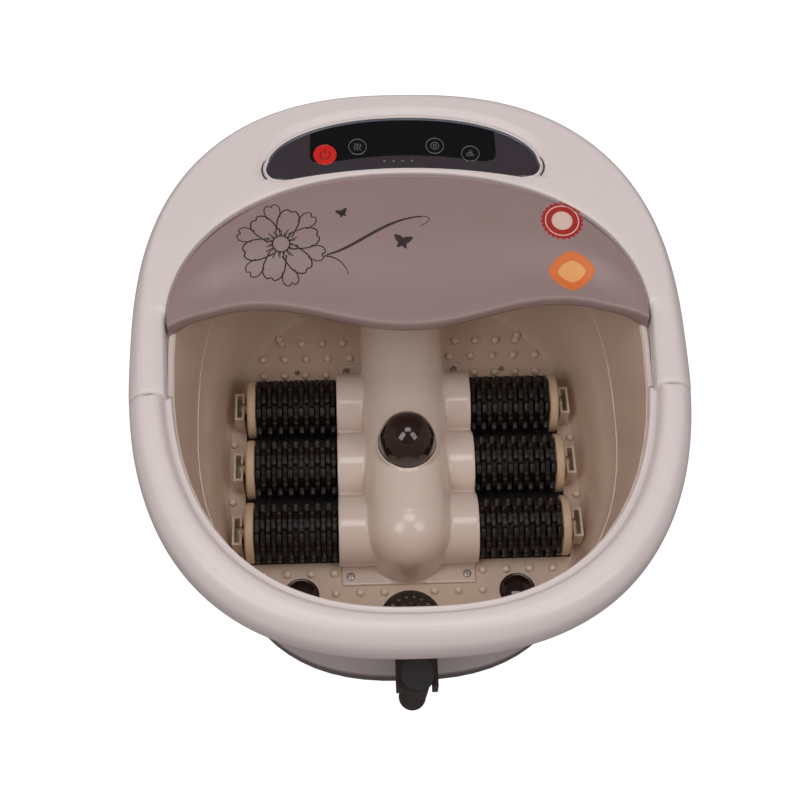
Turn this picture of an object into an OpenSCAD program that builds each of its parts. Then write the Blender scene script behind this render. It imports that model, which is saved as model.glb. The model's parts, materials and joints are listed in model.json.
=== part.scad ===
// Foot spa basin: an oval heated tub with three driven massage roller rows,
// a removable gear cover, a splash guard and a sloping control hood.
// +X is the user's right, +Y points to the control hood, +Z is up.
// The origin is on the floor, below the middle of the rim.

/* [Rim] */
// Width over the rim
body_w = 410; // [406:1:414]
// Length over the rim
body_l = 441; // [437:1:445]
// Height of the rim crest at the front
front_h = 227; // [224:1:230]
// Height of the rim crest at the rear
rear_h = 282; // [278:1:286]
// Wall thickness of the rim and hood mouldings
rim_wall = 2.8; // [2.4:0.1:3.2]

/* [Shell and tub] */
// Width of the base at the floor
base_w = 310; // [306:1:314]
// Length of the base at the floor
base_l = 340; // [336:1:344]
// Height of the grey base band
band_h = 16; // [14:1:18]
// Wall thickness of the outer shell and the tub
wall = 3; // [2.6:0.1:3.2]
// Height of the tub floor's upper face
floor_z = 57; // [56.5:0.5:57.5]

/* [Massage rollers] */
// Distance between roller rows, also two gear meshes
row_pitch = 57; // [57:1:57]
// Y of the middle roller row
row_mid_y = -11; // [-12:1:-10]
// Height of the roller axes
axis_z = 76.2; // [76:0.1:76.4]
// Radius over the roller teeth
roller_r = 24.5; // [24:0.1:24.7]
// Radius of the roller axles
axle_r = 4; // [3.8:0.1:4.1]
// Distance between neighbouring toothed discs
disc_pitch = 4.4; // [4.3:0.05:4.4]
// Number of toothed discs on a roller
disc_count = 17; // [14:1:17]

/* [Gear train] */
// Gear module
gear_m = 1.5; // [1.5:0.5:1.5]
// Teeth on each roller row's gear
row_teeth = 24; // [24:2:24]
// Teeth on the idlers and the motor pinion
idler_teeth = 14; // [14:2:14]
// Middle plane of the gears
gear_x = 22; // [21:0.5:23]
// Gear face width
gear_face = 8; // [7:0.5:9]

/* [Gear cover] */
// Half-width of the cover's ridge
ridge_r = 35; // [34.5:0.5:35.5]
// Height of the top of the ridge
ridge_top = 127; // [125:1:128]
// Y of the round lamp window
window_y = -15.3; // [-16:0.5:-13]
// Diameter of the lamp window
window_d = 46; // [44:1:48]
// Height of the lamp dome above its seat
dome_h = 30; // [24:1:36]

/* [Controls] */
// Half-width of the glossy control lens
lens_a = 106; // [104:1:107]
// Diameter of the power key
power_d = 18; // [17:0.5:18.5]
// Diameter of the three function keys
key_d = 14.5; // [13.5:0.5:15]
// Key travel
key_travel = 0.8; // [0.5:0.1:1]

/* [Drain] */
// Outside diameter of the drain hose
hose_d = 22; // [21:0.5:22]
// Y of the hanging drain hose
hose_y = -204; // [-204.5:0.5:-203.5]
// Height of the hose's swing axis
hose_z = 22; // [21.5:0.5:22.5]

/* [Hidden] */

ring_n = 56;
rim_n = 2.5;
inner_n = 2.46;
seam_y = -37.5;
slope = (rear_h - front_h) / body_l;
tilt = atan(slope);
crest_z = (front_h + rear_h) / 2;
rim_a = body_w / 2;
rim_b = body_l / 2;
edge_a = rim_a - 31;
edge_b = rim_b - 29.5;
guard_a = 178;
guard_b = 126;
guard_y0 = 15.5;
flange_dz = -17;
floor_t = 3;
well_z = floor_z - 9.5;
well_x0 = 45;
well_x1 = 133;
well_y0 = -87.5;
well_y1 = 85.5;
rows_y = [row_mid_y - row_pitch, row_mid_y, row_mid_y + row_pitch];
idler_y = [for (y = rows_y) y + row_pitch / 2];
pinion_y = idler_y[2] + gear_m * idler_teeth;
roller_x0 = 48;
roller_x1 = roller_x0 + disc_pitch * disc_count + 0.4;
cap_t = 131.5 - roller_x1;
clip_x0 = 133.5;
clip_t = 7.8;
run = 0.05;
seat = 0.05;
fit = 0.02;
pin_r = 3;
flange_x = 54;
flange_y0 = -108.5;
flange_y1 = 99.5;
flange_t = 2.5;
bulge_x = 105;
bulge_y = 148.5;
turret = [-29, 14, 80, 136, 100];
strainer_y = -138;
sump_r = 11;
spout_r = 9;
lens_y = 146;
lens_b = 46.4;
lens_t = 3;
key_y = [159, 165.6, 165.6, 158.1];
key_x = [-60.2, -35, 24.8, 52.1];
cover_screw_xy = [[47, -101], [-47, -101], [47, 92], [-47, 92]];
base_screw_xy = [[115, 80], [-115, 80], [115, -80], [-115, -80], [0, 143], [0, -105]];
screw_r = 2;
cover_screw_r = 1.5;
jet_xy = [90, 93.5];
jet_z = 44.2;
lens_xy = [87, -115.5];

// ---------------------------------------------------------------- outlines

function power(v, e) = sign(v) * pow(abs(v), e);

// Point of a superellipse with half-axes a and b at the parameter t
function oval_at(a, b, n, t) = [a * power(cos(t), 2 / n), b * power(sin(t), 2 / n)];

function oval(a, b, n, count = ring_n) =
    [for (i = [0 : count - 1]) oval_at(a, b, n, 360 * i / count)];

// One ring of a shell: an oval at height z that rises by k per millimetre of Y
function ring(a, b, n, z, k = 0, y0 = 0) =
    [for (p = oval(a, b, n)) [p[0], p[1] + y0, z + k * p[1]]];

function flatten(rows) = [for (row = rows) each row];

// Quads between two neighbouring rows of m points; closed rows wrap around
function strip(i, j, m, wrap) =
    [for (s = [0 : m - (wrap ? 1 : 2)])
        each [[i * m + s, j * m + s, i * m + (s + 1) % m],
              [i * m + (s + 1) % m, j * m + s, j * m + (s + 1) % m]]];

// Closed solid through rings listed from the bottom up, with flat end caps
module loft(rings) {
    m = len(rings[0]);
    last = len(rings) - 1;
    polyhedron(
        points = flatten(rings),
        faces = concat(
            [[for (s = [0 : m - 1]) s]],
            [for (i = [0 : last - 1]) each strip(i, i + 1, m, true)],
            [[for (s = [0 : m - 1]) last * m + m - 1 - s]]
        )
    );
}

// Closed hollow band: the rings run up the outside and down the inside
module hoop(rings) {
    m = len(rings[0]);
    count = len(rings);
    polyhedron(
        points = flatten(rings),
        faces = [for (i = [0 : count - 1]) each strip(i, (i + 1) % count, m, true)]
    );
}

// Solid swept through closed sections, with a cap on the first and the last
module sweep(sections) {
    m = len(sections[0]);
    last = len(sections) - 1;
    polyhedron(
        points = flatten(sections),
        faces = concat(
            [[for (s = [0 : m - 1]) m - 1 - s]],
            [for (i = [0 : last - 1]) each [for (f = strip(i, i + 1, m, true)) [f[2], f[1], f[0]]]],
            [[for (s = [0 : m - 1]) last * m + s]]
        )
    );
}

// Children drawn on the sloping plane of the rim crest
module on_slope(dz = 0) {
    translate([0, 0, crest_z]) rotate([tilt, 0, 0]) translate([0, 0, dz]) children();
}

function slope_y(y) = y / cos(tilt);

// Rod from point p to point q
module rod(p, q, r) {
    v = q - p;
    translate(p)
        rotate([0, acos(v[2] / norm(v)), atan2(v[1], v[0])])
            cylinder(h = norm(v), r = r, $fn = 32);
}

// Round pipe through a list of points, with slightly proud ball corners
module pipe(points, r) {
    for (i = [0 : len(points) - 2]) rod(points[i], points[i + 1], r);
    for (i = [1 : 1 : len(points) - 2]) translate(points[i]) sphere(r = r + 0.3, $fn = 32);
}

module x_cylinder(x0, x1, r) {
    translate([x0, 0, 0]) rotate([0, 90, 0]) cylinder(h = x1 - x0, r = r, $fn = 48);
}

module at_row(y) {
    translate([0, y, axis_z]) children();
}

// ---------------------------------------------------------------- base

module base_pan() {
    color([0.28, 0.23, 0.23]) difference() {
        union() {
            difference() {
                translate([0, 0, 3]) linear_extrude(band_h - 3)
                    polygon(oval(base_w / 2, base_l / 2, rim_n, 72));
                translate([0, 0, 6]) linear_extrude(band_h)
                    polygon(oval(base_w / 2 - wall, base_l / 2 - wall, rim_n, 72));
            }
            for (p = base_screw_xy)
                translate([p[0], p[1], 4]) cylinder(h = 14, r = 7, $fn = 32);
        }
        for (p = base_screw_xy) {
            translate([p[0], p[1], 0]) cylinder(h = 12, r = 4.5, $fn = 32);
            translate([p[0], p[1], 0]) cylinder(h = 30, r = 2.2, $fn = 32);
        }
        for (x = [-40 : 10 : 40])
            translate([x - 2, 60, 0]) cube([4, 50, 10]);
        translate([0, -140, hose_z]) rotate([90, 0, 0]) cylinder(h = 60, r = spout_r + 0.5, $fn = 48);
    }
}

module rubber_feet() {
    color([0.15, 0.15, 0.15])
        for (x = [-1, 1], y = [-1, 1])
            translate([x * 95, y * 115, 0]) cylinder(h = 2.95, r = 12, $fn = 48);
}

module base_screws() {
    color("silver")
        for (p = base_screw_xy) translate([p[0], p[1], 8]) {
            cylinder(h = 3.95, r = 4, $fn = 32);
            translate([0, 0, 3]) cylinder(h = 15, r = 2, $fn = 32);
        }
}

// ---------------------------------------------------------------- outer shell

shell_top = -20.3;
shell_steps = 9;

function shell_ring(s, inset) =
    let (flare = pow(s, 1.35),
         a = base_w / 2 + 1 + (rim_a - 13 - base_w / 2 - 1) * flare,
         b = base_l / 2 + 1 + (rim_b - 13 - base_l / 2 - 1) * flare)
    ring(a - inset, b - inset, rim_n,
         band_h + seat + (crest_z + shell_top - band_h) * s, slope * s);

module outer_shell() {
    color([0.86, 0.82, 0.8]) difference() {
        hoop(concat(
            [for (i = [0 : shell_steps]) shell_ring(i / shell_steps, 0)],
            [for (i = [0 : shell_steps]) shell_ring(1 - i / shell_steps, wall)]
        ));
        translate([0, 0, hose_z]) rotate([90, 0, 0])
            cylinder(h = 300, r = spout_r + 0.5, $fn = 48);
        translate([0, -150, clip_z]) rotate([90, 0, 0])
            cylinder(h = 60, r = pin_r + fit, $fn = 32);
        translate([0, 150, cord_z]) rotate([-90, 0, 0])
            cylinder(h = 60, r = grommet_r + fit, $fn = 32);
    }
}

// ---------------------------------------------------------------- tub

floor_a = 149.6;
floor_b = 167.4;
floor_n = 2.56;
wall_a = edge_a - 1.5;
wall_b = edge_b - 1.3;
tub_u = [0, 0.02, 0.05, 0.18, 0.375, 0.39, 0.6, 0.8, 1];

// Inside of the tub wall: u runs from the floor to the flange, with a small
// fillet at the floor and a ledge near the water line
function tub_ring(u, grow, drop = 0) =
    let (w = pow(u, 0.85),
         step = (u > 0.38 ? 1.2 : 0) + (u < 0.05 ? -3 * pow(1 - u / 0.05, 2) : 0))
    ring(floor_a + (wall_a - 1.2 - floor_a) * w + step + grow,
         floor_b + (wall_b - 1.2 - floor_b) * w + step + grow,
         floor_n + (inner_n - floor_n) * u,
         floor_z + (crest_z + flange_dz - floor_z) * u - drop, slope * u);

function flange_ring(dz) =
    ring(rim_a - 13.5, rim_b - 13.5, 2.5, crest_z + flange_dz + dz, slope);

nub_r = 2.8;
front_nubs = concat([for (i = [0 : 3]) [60 + 19 * i, -97.5]],
                    [for (i = [0 : 2]) [20 + 19.5 * i, -114.5]]);
rear_nubs = concat([for (i = [0 : 3]) [65 + 18 * i, 89]],
                   [for (i = [0 : 4]) [44 + 19 * i, 106]],
                   [for (i = [0 : 3]) [50 + 18 * i, 122]],
                   [[106, 127]]);

module both_sides() {
    children();
    mirror([1, 0, 0]) children();
}

// Box from corner p to corner q
module box(p, q) {
    translate(p) cube(q - p);
}

module tub() {
    color([0.78, 0.74, 0.71]) difference() {
        union() {
            difference() {
                loft(concat([tub_ring(0, wall - 2, floor_t)],
                            [for (u = tub_u) if (u > 0.02) tub_ring(u, wall, u < 1 ? 0 : floor_t)],
                            [flange_ring(-floor_t), flange_ring(0)]));
                difference() {
                    loft(concat([for (u = tub_u) tub_ring(u, 0)],
                                [ring(wall_a + 1, wall_b + 1, inner_n,
                                      crest_z + flange_dz + 10, slope)]));
                    box([-bulge_x, bulge_y, 0], [bulge_x, body_l, rear_h]);
                }
                box([3 - bulge_x, bulge_y + 3, 0], [bulge_x - 3, 187, 232]);
            }
            tub_floor_walls();
        }
        tub_floor_cuts();
    }
}

module tub_floor_walls() {
    both_sides() {
        box([well_x0 - 3, well_y0 - 3, well_z - 3], [well_x1 + 3, well_y1 + 3, floor_z - 1]);
        translate([jet_xy[0], jet_xy[1], jet_z - 8]) cylinder(h = floor_z - jet_z + 7, r = 5, $fn = 32);
        translate([0, 0, floor_z - 1]) linear_extrude(3.6)
            for (p = concat(front_nubs, rear_nubs)) translate(p) circle(r = nub_r, $fn = 24);
    }
    box([gear_x - 9, -91, 50], [gear_x + 9, 111, floor_z - 1]);
    box([turret[0], turret[2], 50], [turret[1], turret[3], turret[4]]);
    translate([0, strainer_y, 40]) cylinder(h = 16, r = sump_r + 3, $fn = 48);
    for (p = base_screw_xy) translate([p[0], p[1], 18.1]) cylinder(h = 37, r = 6, $fn = 32);
    for (p = cover_screw_xy) translate([p[0], p[1], 46]) cylinder(h = 10, r = 5, $fn = 32);
}

module tub_floor_cuts() {
    both_sides() {
        box([well_x0, well_y0, well_z], [well_x1, well_y1, floor_z + 1]);
        translate([jet_xy[0], jet_xy[1], 30]) cylinder(h = 40, r = 2.5, $fn = 32);
        translate([lens_xy[0], lens_xy[1], 40]) cylinder(h = 30, r = 8, $fn = 48);
    }
    box([gear_x - 6, -88.5, 53], [gear_x + 6, 108.5, floor_z + 1]);
    box([turret[0] + 3, turret[2] + 3, 30], [turret[1] - 3, turret[3] - 3, turret[4] - 3]);
    translate([0, pinion_y, axis_z]) x_cylinder(turret[1] - 6, turret[1] + 3, 6 + fit);
    translate([0, strainer_y, 30]) cylinder(h = 40, r = sump_r, $fn = 48);
    for (p = base_screw_xy)
        translate([p[0], p[1], 10]) cylinder(h = 22, r = screw_r + fit, $fn = 32);
    for (p = cover_screw_xy)
        translate([p[0], p[1], 48]) cylinder(h = 20, r = cover_screw_r + fit, $fn = 32);
}

module well_liners() {
    color([0.25, 0.23, 0.23]) both_sides() difference() {
        box([well_x0 + 0.2, well_y0 + 0.2, well_z + 0.05], [well_x1 - 0.2, well_y1 - 0.2, 54]);
        box([well_x0 + 1.4, well_y0 + 1.4, well_z + 1.4], [well_x1 - 1.4, well_y1 - 1.4, 60]);
    }
}

// ---------------------------------------------------------------- rim and hood

// Outer edge of the rim, and the inner edges of the rim and the hood opening
function rim_out(t) = oval_at(rim_a, rim_b, rim_n, t);

function rim_in(t) = oval_at(edge_a, edge_b, inner_n, t);

function hood_in(t, t1) =
    t < t1
        ? let (y = rim_out(t)[1], f = (y - seam_y) / (guard_y0 - seam_y))
          [edge_a + 1 + (guard_a - edge_a - 1) * f, y]
        : let (p = oval_at(guard_a, guard_b, 2.2, 90 * (t - t1) / (90 - t1)))
          [p[0], p[1] + guard_y0];

function mirror_x(p) = [-p[0], p[1]];

// Parameter at which the outer edge crosses a given Y
function rim_t(y) = asin(power(y / rim_b, rim_n / 2));

// Profiles: [distance in from the outer edge or out from the inner edge, height]
outer_top = [[12, -32], [3, -31], [0, -25], [0, -18], [1.5, -10], [5.5, -4], [9, -0.8], [12.4, 0]];
outer_under = [[12.4, -rim_wall], [10, -3.6], [7.5, -6.2], [4, -11], [rim_wall, -18],
               [rim_wall, -25], [4.5, -28.6], [12, -29.4]];
rim_lip = [[14, 0], [8, -1.5], [3, -5.5], [0, -12], [-0.5, -15], [2.5, -15], [3, -12],
           [5, -7.5], [9.5, -4.2], [14, -rim_wall]];
hood_lip = [[14, 0], [7, -0.5], [1.5, -1.2], [0.5, -2.2], [0.5, -5.2], [-8, -5.2],
            [-8, -7.8], [2, -7.8], [9, -4], [14, -rim_wall]];

function rim_point(p, dz) = [p[0], p[1], crest_z + slope * p[1] + dz];

// Closed section between an outer point o and an inner point q; blend turns the
// front rim's lip into the hood's rebate
function rim_section(o, q, blend) =
    let (d = (q - o) / norm(q - o))
    concat(
        [for (v = outer_top) rim_point(o + d * v[0], v[1])],
        [for (i = [0 : len(rim_lip) - 1])
            let (v = rim_lip[i] * (1 - blend) + hood_lip[i] * blend)
            rim_point(q - d * v[0], v[1])],
        [for (v = outer_under) rim_point(o + d * v[0], v[1])]
    );

rim_steps = 34;
hood_steps = 46;

module front_rim() {
    t0 = 180 - rim_t(seam_y - 0.2);
    t1 = 360 + rim_t(seam_y - 0.2);
    color([0.9, 0.87, 0.86])
        sweep([for (i = [0 : rim_steps])
            let (t = t0 + (t1 - t0) * i / rim_steps, o = rim_out(t), e = rim_in(t))
            rim_section(o, i == 0 || i == rim_steps ? [e[0], o[1]] : e, 0)]);
}

// Section of the hood at step i; the left half mirrors the right half
function hood_section(i) =
    let (t0 = rim_t(seam_y + 0.2),
         t1 = rim_t(guard_y0),
         j = min(i, hood_steps - i),
         t = t0 + (90 - t0) * j / (hood_steps / 2),
         left = i > hood_steps / 2,
         o = rim_out(t),
         q = hood_in(t, t1),
         blend = max(0, min(1, (t - t1 - 2) / 3)))
    rim_section(left ? mirror_x(o) : o, left ? mirror_x(q) : q, blend);

module rear_hood() {
    color([0.9, 0.87, 0.86]) difference() {
        sweep([for (i = [0 : hood_steps]) hood_section(i)]);
        on_slope(-20) linear_extrude(40) lens_outline(0.3);
    }
}

module rim_gasket() {
    color([0.8, 0.8, 0.78])
        hoop([for (v = [[-0.5, -16.9], [3, -16.9], [3, -15.1], [-0.5, -15.1]])
            ring(edge_a + v[0], edge_b + v[0], inner_n, crest_z + v[1], slope)]);
}

// ---------------------------------------------------------------- splash guard

guard_steps = 40;

function guard_back(x) = guard_y0 + guard_b * pow(1 - pow(abs(x) / (guard_a - 1), 2.2), 1 / 2.2);

// Wavy front edge: low in the middle, a lobe on each side, low at the corners
function guard_front(x) =
    abs(x) < 112
        ? 26 - 9.3 * cos(180 * x / 112)
        : 14.5 + 20.8 * pow(max(0, cos(90 * (abs(x) - 112) / 66)), 0.85);

// The face sags towards the front, but stays level near the ledge it rests on
function guard_section(x) =
    let (yb = guard_back(x) - 0.6,
         yf = min(guard_front(x), yb - 3),
         flat = 0.45 * yf + 0.55 * yb,
         low = 0.72 * yf + 0.28 * yb,
         sag = min(4, (yb - yf) / 14) * max(0, min(1, (170 - abs(x)) / 25)))
    [for (v = [[yb, -2.6], [flat, -2.6], [low, -2.6 - sag], [yf + 3, -2.6 - sag],
               [yf, -5 - sag], [yf, -11.5 - sag], [yf + 2, -11.5 - sag], [yf + 2.2, -5.6 - sag],
               [yf + 3.4, -5 - sag], [low, -5 - sag], [flat, -5], [yb, -5]])
        [x, v[0], crest_z + slope * v[0] + v[1]]];

module splash_guard() {
    color([0.5, 0.43, 0.42])
        sweep([for (i = [0 : guard_steps])
            guard_section((guard_a - 1.4) * sin(90 * (2 * i / guard_steps - 1)))]);
}

// ---------------------------------------------------------------- controls

lens_end_r = 10.5;
board_t = 1.6;
key_top = 1.2;
switch_top = -10;

// Crescent outline of the control lens, grown by g
module lens_outline(g) {
    top = [for (t = [14 : 4 : 166])
        oval_at(lens_a + g, lens_b + g, 2.1, t) + [0, lens_y]];
    end_c = [lens_a - lens_end_r, lens_y + 1];
    cap = [for (t = [-85 : 15 : 5]) (lens_end_r + g) * [cos(t), sin(t)]];
    under = [for (x = [90 : -10 : -90]) [x, lens_y - 0.8 - g - 9 * pow(x / 88, 2)]];
    points = concat([for (p = cap) end_c + p], top,
                    [for (i = [len(cap) - 1 : -1 : 0]) [-end_c[0] - cap[i][0], end_c[1] + cap[i][1]]],
                    [for (i = [len(under) - 1 : -1 : 0]) under[i]]);
    polygon([for (p = points) [p[0], slope_y(p[1])]]);
}

module at_key(i) {
    translate([key_x[i], slope_y(key_y[i])]) children();
}

function key_r(i) = (i == 0 ? power_d : key_d) / 2;

module control_lens() {
    color([0.06, 0.05, 0.06]) difference() {
        on_slope(-2.4) linear_extrude(lens_t) lens_outline(0);
        on_slope(-10)
            for (i = [0 : 3]) at_key(i) cylinder(h = 20, r = key_r(i) + 0.25, $fn = 48);
    }
}

// Key cap with a stem that ends just over its switch, one key travel away
module key(i) {
    stem_z = switch_top + key_travel + 0.2;
    on_slope(0) at_key(i) {
        translate([0, 0, -5]) cylinder(h = 5 + key_top, r = key_r(i), $fn = 48);
        translate([0, 0, stem_z]) cylinder(h = -4.5 - stem_z, r = 2.5, $fn = 32);
    }
}

module power_key() {
    color([0.8, 0.12, 0.1]) key(0);
}

module heat_key() {
    color([0.1, 0.1, 0.1]) key(1);
}

module massage_key() {
    color([0.1, 0.1, 0.1]) key(2);
}

module bubble_key() {
    color([0.1, 0.1, 0.1]) key(3);
}

module key_board() {
    color([0.1, 0.35, 0.2]) on_slope(-15) {
        translate([-70, slope_y(150), 0]) cube([140, 26, board_t]);
        for (i = [0 : 3]) at_key(i) translate([-3, -3, board_t - 0.2]) cube([6, 6, 3.6]);
        translate([-18, slope_y(155), board_t - 0.2]) cube([34, 14, 6]);
    }
}

module main_board() {
    color([0.1, 0.35, 0.2]) {
        box([-80, 156, 130], [80, 156 + board_t, 205]);
        box([-70, 157, 140], [-38, 173, 172]);
        for (x = [-25 : 18 : 30]) box([x, 157, 142], [x + 13, 171, 164]);
        for (x = [-60, 50]) translate([x, 157, 188]) rotate([-90, 0, 0])
            cylinder(h = 15, r = 6, $fn = 32);
    }
}

// ---------------------------------------------------------------- gear train

backlash = 0.12;
press_angle = 20;

function inv_deg(a) = tan(a) * 180 / PI - a;

// Half the tooth's angle at radius rho
function tooth_half(z, rho) =
    let (r = gear_m * z / 2)
    90 / z - backlash / r * 90 / PI + inv_deg(press_angle)
        - inv_deg(acos(min(1, r * cos(press_angle) / rho)));

function polar(r, t) = [r * cos(t), r * sin(t)];

// Involute gear outline with a tooth centred on the X axis
module gear_outline(z) {
    r = gear_m * z / 2;
    tip = r + 0.95 * gear_m;
    root = r - 1.25 * gear_m;
    base = max(r * cos(press_angle), root);
    flank = [for (i = [0 : 5]) base + (tip - base) * i / 5];
    polygon([for (k = [0 : z - 1], side = [-1, 1])
        let (mid = 360 * k / z)
        each side < 0
            ? concat([polar(root, mid - tooth_half(z, base))],
                     [for (rho = flank) polar(rho, mid - tooth_half(z, rho))])
            : concat([for (i = [5 : -1 : 0]) polar(flank[i], mid + tooth_half(z, flank[i]))],
                     [polar(root, mid + tooth_half(z, base))])]);
}

// Gear around the X axis, turned by whole-mesh phase, with a round bore
module x_gear(z, turn, bore) {
    translate([gear_x - gear_face / 2, 0, 0])
        rotate([90, 0, 90]) rotate([0, 0, turn]) difference() {
            linear_extrude(gear_face) gear_outline(z);
            translate([0, 0, -1]) cylinder(h = gear_face + 2, r = bore, $fn = 48);
        }
}

module row_gear(y) {
    color([0.85, 0.82, 0.75]) at_row(y) x_gear(row_teeth, 0, axle_r + fit);
}

module idler(y) {
    color([0.85, 0.82, 0.75]) at_row(y) x_gear(idler_teeth, 180 / idler_teeth, pin_r + run);
}

module front_idler() {
    idler(idler_y[0]);
}

module middle_idler() {
    idler(idler_y[1]);
}

module rear_idler() {
    idler(idler_y[2]);
}

module bearing_rail() {
    color([0.55, 0.53, 0.5]) difference() {
        union() {
            box([-5, -82, floor_z + 0.05], [5, 78.5, axis_z + 9]);
            for (y = idler_y) at_row(y) {
                x_cylinder(0, gear_x - gear_face / 2 - 0.5, 5.2);
                x_cylinder(0, gear_x + gear_face / 2 + 2, pin_r);
            }
        }
        for (y = rows_y) at_row(y) x_cylinder(-10, 10, axle_r + run);
    }
}

module motor_pinion() {
    color([0.85, 0.82, 0.75]) at_row(pinion_y) {
        x_gear(idler_teeth, 0, 1);
        x_cylinder(-8, gear_x + gear_face / 2 + 1, pin_r);
    }
}

module shaft_seal() {
    color([0.2, 0.2, 0.2]) at_row(pinion_y) difference() {
        x_cylinder(turret[1] - 3, turret[1], 6);
        x_cylinder(turret[1] - 5, turret[1] + 2, pin_r + run);
    }
}

module gearbox() {
    color([0.6, 0.6, 0.62]) difference() {
        box([-24, 84, 60], [9, 108, 92]);
        at_row(pinion_y) x_cylinder(-12, 12, pin_r + run);
    }
}

module motor_can() {
    color("silver") translate([-8, 108.1, 78]) rotate([-90, 0, 0]) {
        cylinder(h = 21, r = 13.5, $fn = 48);
        cylinder(h = 24, r = 5, $fn = 32);
    }
}

// ---------------------------------------------------------------- roller rows

module axle(y) {
    end = clip_x0 + clip_wall + 1;
    color("silver") at_row(y) x_cylinder(-end, end, axle_r);
}

// Outline of one toothed disc: six square teeth on a round core
module disc_outline() {
    core = roller_r - 6.2;
    polygon([for (k = [0 : 5])
        each [polar(core, 60 * k - 13), polar(roller_r, 60 * k - 10.5), polar(roller_r, 60 * k),
              polar(roller_r, 60 * k + 10.5), polar(core, 60 * k + 13), polar(core, 60 * k + 30)]]);
}

module roller_right(y) {
    color([0.11, 0.08, 0.07]) at_row(y) rotate([0, 90, 0]) difference() {
        union() {
            translate([0, 0, roller_x0])
                cylinder(h = roller_x1 - roller_x0, r = roller_r - 8, $fn = 48);
            for (i = [0 : disc_count - 1])
                translate([0, 0, roller_x0 + 0.6 + disc_pitch * i]) rotate([0, 0, 30 * (i % 2)])
                    linear_extrude(disc_pitch - 0.8) disc_outline();
        }
        cylinder(h = 200, r = axle_r + fit, $fn = 48);
    }
}

module roller_left(y) {
    mirror([1, 0, 0]) roller_right(y);
}

module end_caps(y) {
    color([0.7, 0.64, 0.57]) both_sides() at_row(y) difference() {
        union() {
            x_cylinder(roller_x1 + 0.1, roller_x1 + cap_t - 2, roller_r - 0.3);
            x_cylinder(roller_x1 + 0.1, roller_x1 + cap_t, 9);
        }
        x_cylinder(0, 200, axle_r + fit);
    }
}

module front_axle() {
    axle(rows_y[0]);
}

module middle_axle() {
    axle(rows_y[1]);
}

module rear_axle() {
    axle(rows_y[2]);
}

module front_roller_left() {
    roller_left(rows_y[0]);
}

module front_roller_right() {
    roller_right(rows_y[0]);
}

module front_end_caps() {
    end_caps(rows_y[0]);
}

module front_gear() {
    row_gear(rows_y[0]);
}

module middle_roller_left() {
    roller_left(rows_y[1]);
}

module middle_roller_right() {
    roller_right(rows_y[1]);
}

module middle_end_caps() {
    end_caps(rows_y[1]);
}

module middle_gear() {
    row_gear(rows_y[1]);
}

module rear_roller_left() {
    roller_left(rows_y[2]);
}

module rear_roller_right() {
    roller_right(rows_y[2]);
}

module rear_end_caps() {
    end_caps(rows_y[2]);
}

module rear_gear() {
    row_gear(rows_y[2]);
}

clip_wall = 1.8;

// Open-topped frames; each axle end snaps into the slot in the inner wall
module bearing_clips() {
    color([0.62, 0.54, 0.45]) both_sides() for (y = rows_y) difference() {
        box([clip_x0, y - 12.5, floor_z + 0.1], [clip_x0 + clip_t, y + 12.5, axis_z + 6]);
        box([clip_x0 + clip_wall, y - 12.5 + clip_wall, axis_z - 12],
            [clip_x0 + clip_t - clip_wall, y + 12.5 - clip_wall, axis_z + 20]);
        at_row(y) x_cylinder(0, clip_x0 + clip_wall + 2, axle_r + run);
        box([clip_x0 - 1, y - 3.4, axis_z], [clip_x0 + clip_wall + 1, y + 3.4, axis_z + 20]);
        translate([clip_x0 + clip_t, y, floor_z]) rotate([0, 45, 0]) cube([6.4, 30, 6.4], center = true);
        translate([clip_x0 + clip_t, y - 12.5, floor_z])
            rotate([0, 0, 45]) cube([9.2, 9.2, 16], center = true);
    }
}

// ---------------------------------------------------------------- gear cover

// Round-topped ridge along Y with a domed nose at its front end
module ridge(r, top, y0, y1) {
    z_c = top - r;
    nose_r = r - 0.3;
    translate([0, y1, 0]) rotate([90, 0, 0]) linear_extrude(y1 - y0) union() {
        translate([0, z_c]) circle(r = r, $fn = 64);
        translate([-r, floor_z]) square([2 * r, z_c - floor_z]);
    }
    translate([0, y0 + 1, z_c]) sphere(r = nose_r, $fn = 64);
    translate([0, y0 + 1, floor_z]) cylinder(h = z_c - floor_z, r = nose_r, $fn = 64);
}

cover_t = 2.5;
nose_y = -109 + ridge_r;
skirt_r = roller_r + 1.5;
skirt_outer_r = skirt_r + 3;

module gear_cover() {
    color([0.85, 0.8, 0.78]) difference() {
        union() {
            box([-flange_x, flange_y0, floor_z + 0.05], [flange_x, flange_y1, floor_z + flange_t]);
            ridge(ridge_r, ridge_top, nose_y, bulge_y - 0.8);
            for (y = rows_y) at_row(y) x_cylinder(-56, 56, skirt_outer_r);
            translate([0, window_y, 100])
                cylinder(h = ridge_top + 1 - 100, r = window_d / 2 + 1.4, $fn = 64);
        }
        ridge(ridge_r - cover_t, ridge_top - cover_t, nose_y, bulge_y - 3.5);
        for (y = rows_y) at_row(y) x_cylinder(-60, 60, skirt_r);
        box([-80, -150, 0], [80, 200, floor_z + 0.05]);
        translate([0, window_y, 90]) cylinder(h = 80, r = window_d / 2 - 3, $fn = 64);
        translate([0, window_y, ridge_top - 1.5])
            cylinder(h = 80, r = window_d / 2 + 0.2, $fn = 64);
        for (p = cover_screw_xy)
            translate([p[0], p[1], 0]) cylinder(h = 80, r = cover_screw_r + 0.3, $fn = 32);
    }
}

module cover_screws() {
    color("silver") for (p = cover_screw_xy) translate([p[0], p[1], 0]) {
        translate([0, 0, 50]) cylinder(h = floor_z + flange_t - 49, r = cover_screw_r, $fn = 32);
        translate([0, 0, floor_z + flange_t + 0.05]) cylinder(h = 2, r = 3.2, $fn = 32);
    }
}

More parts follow.
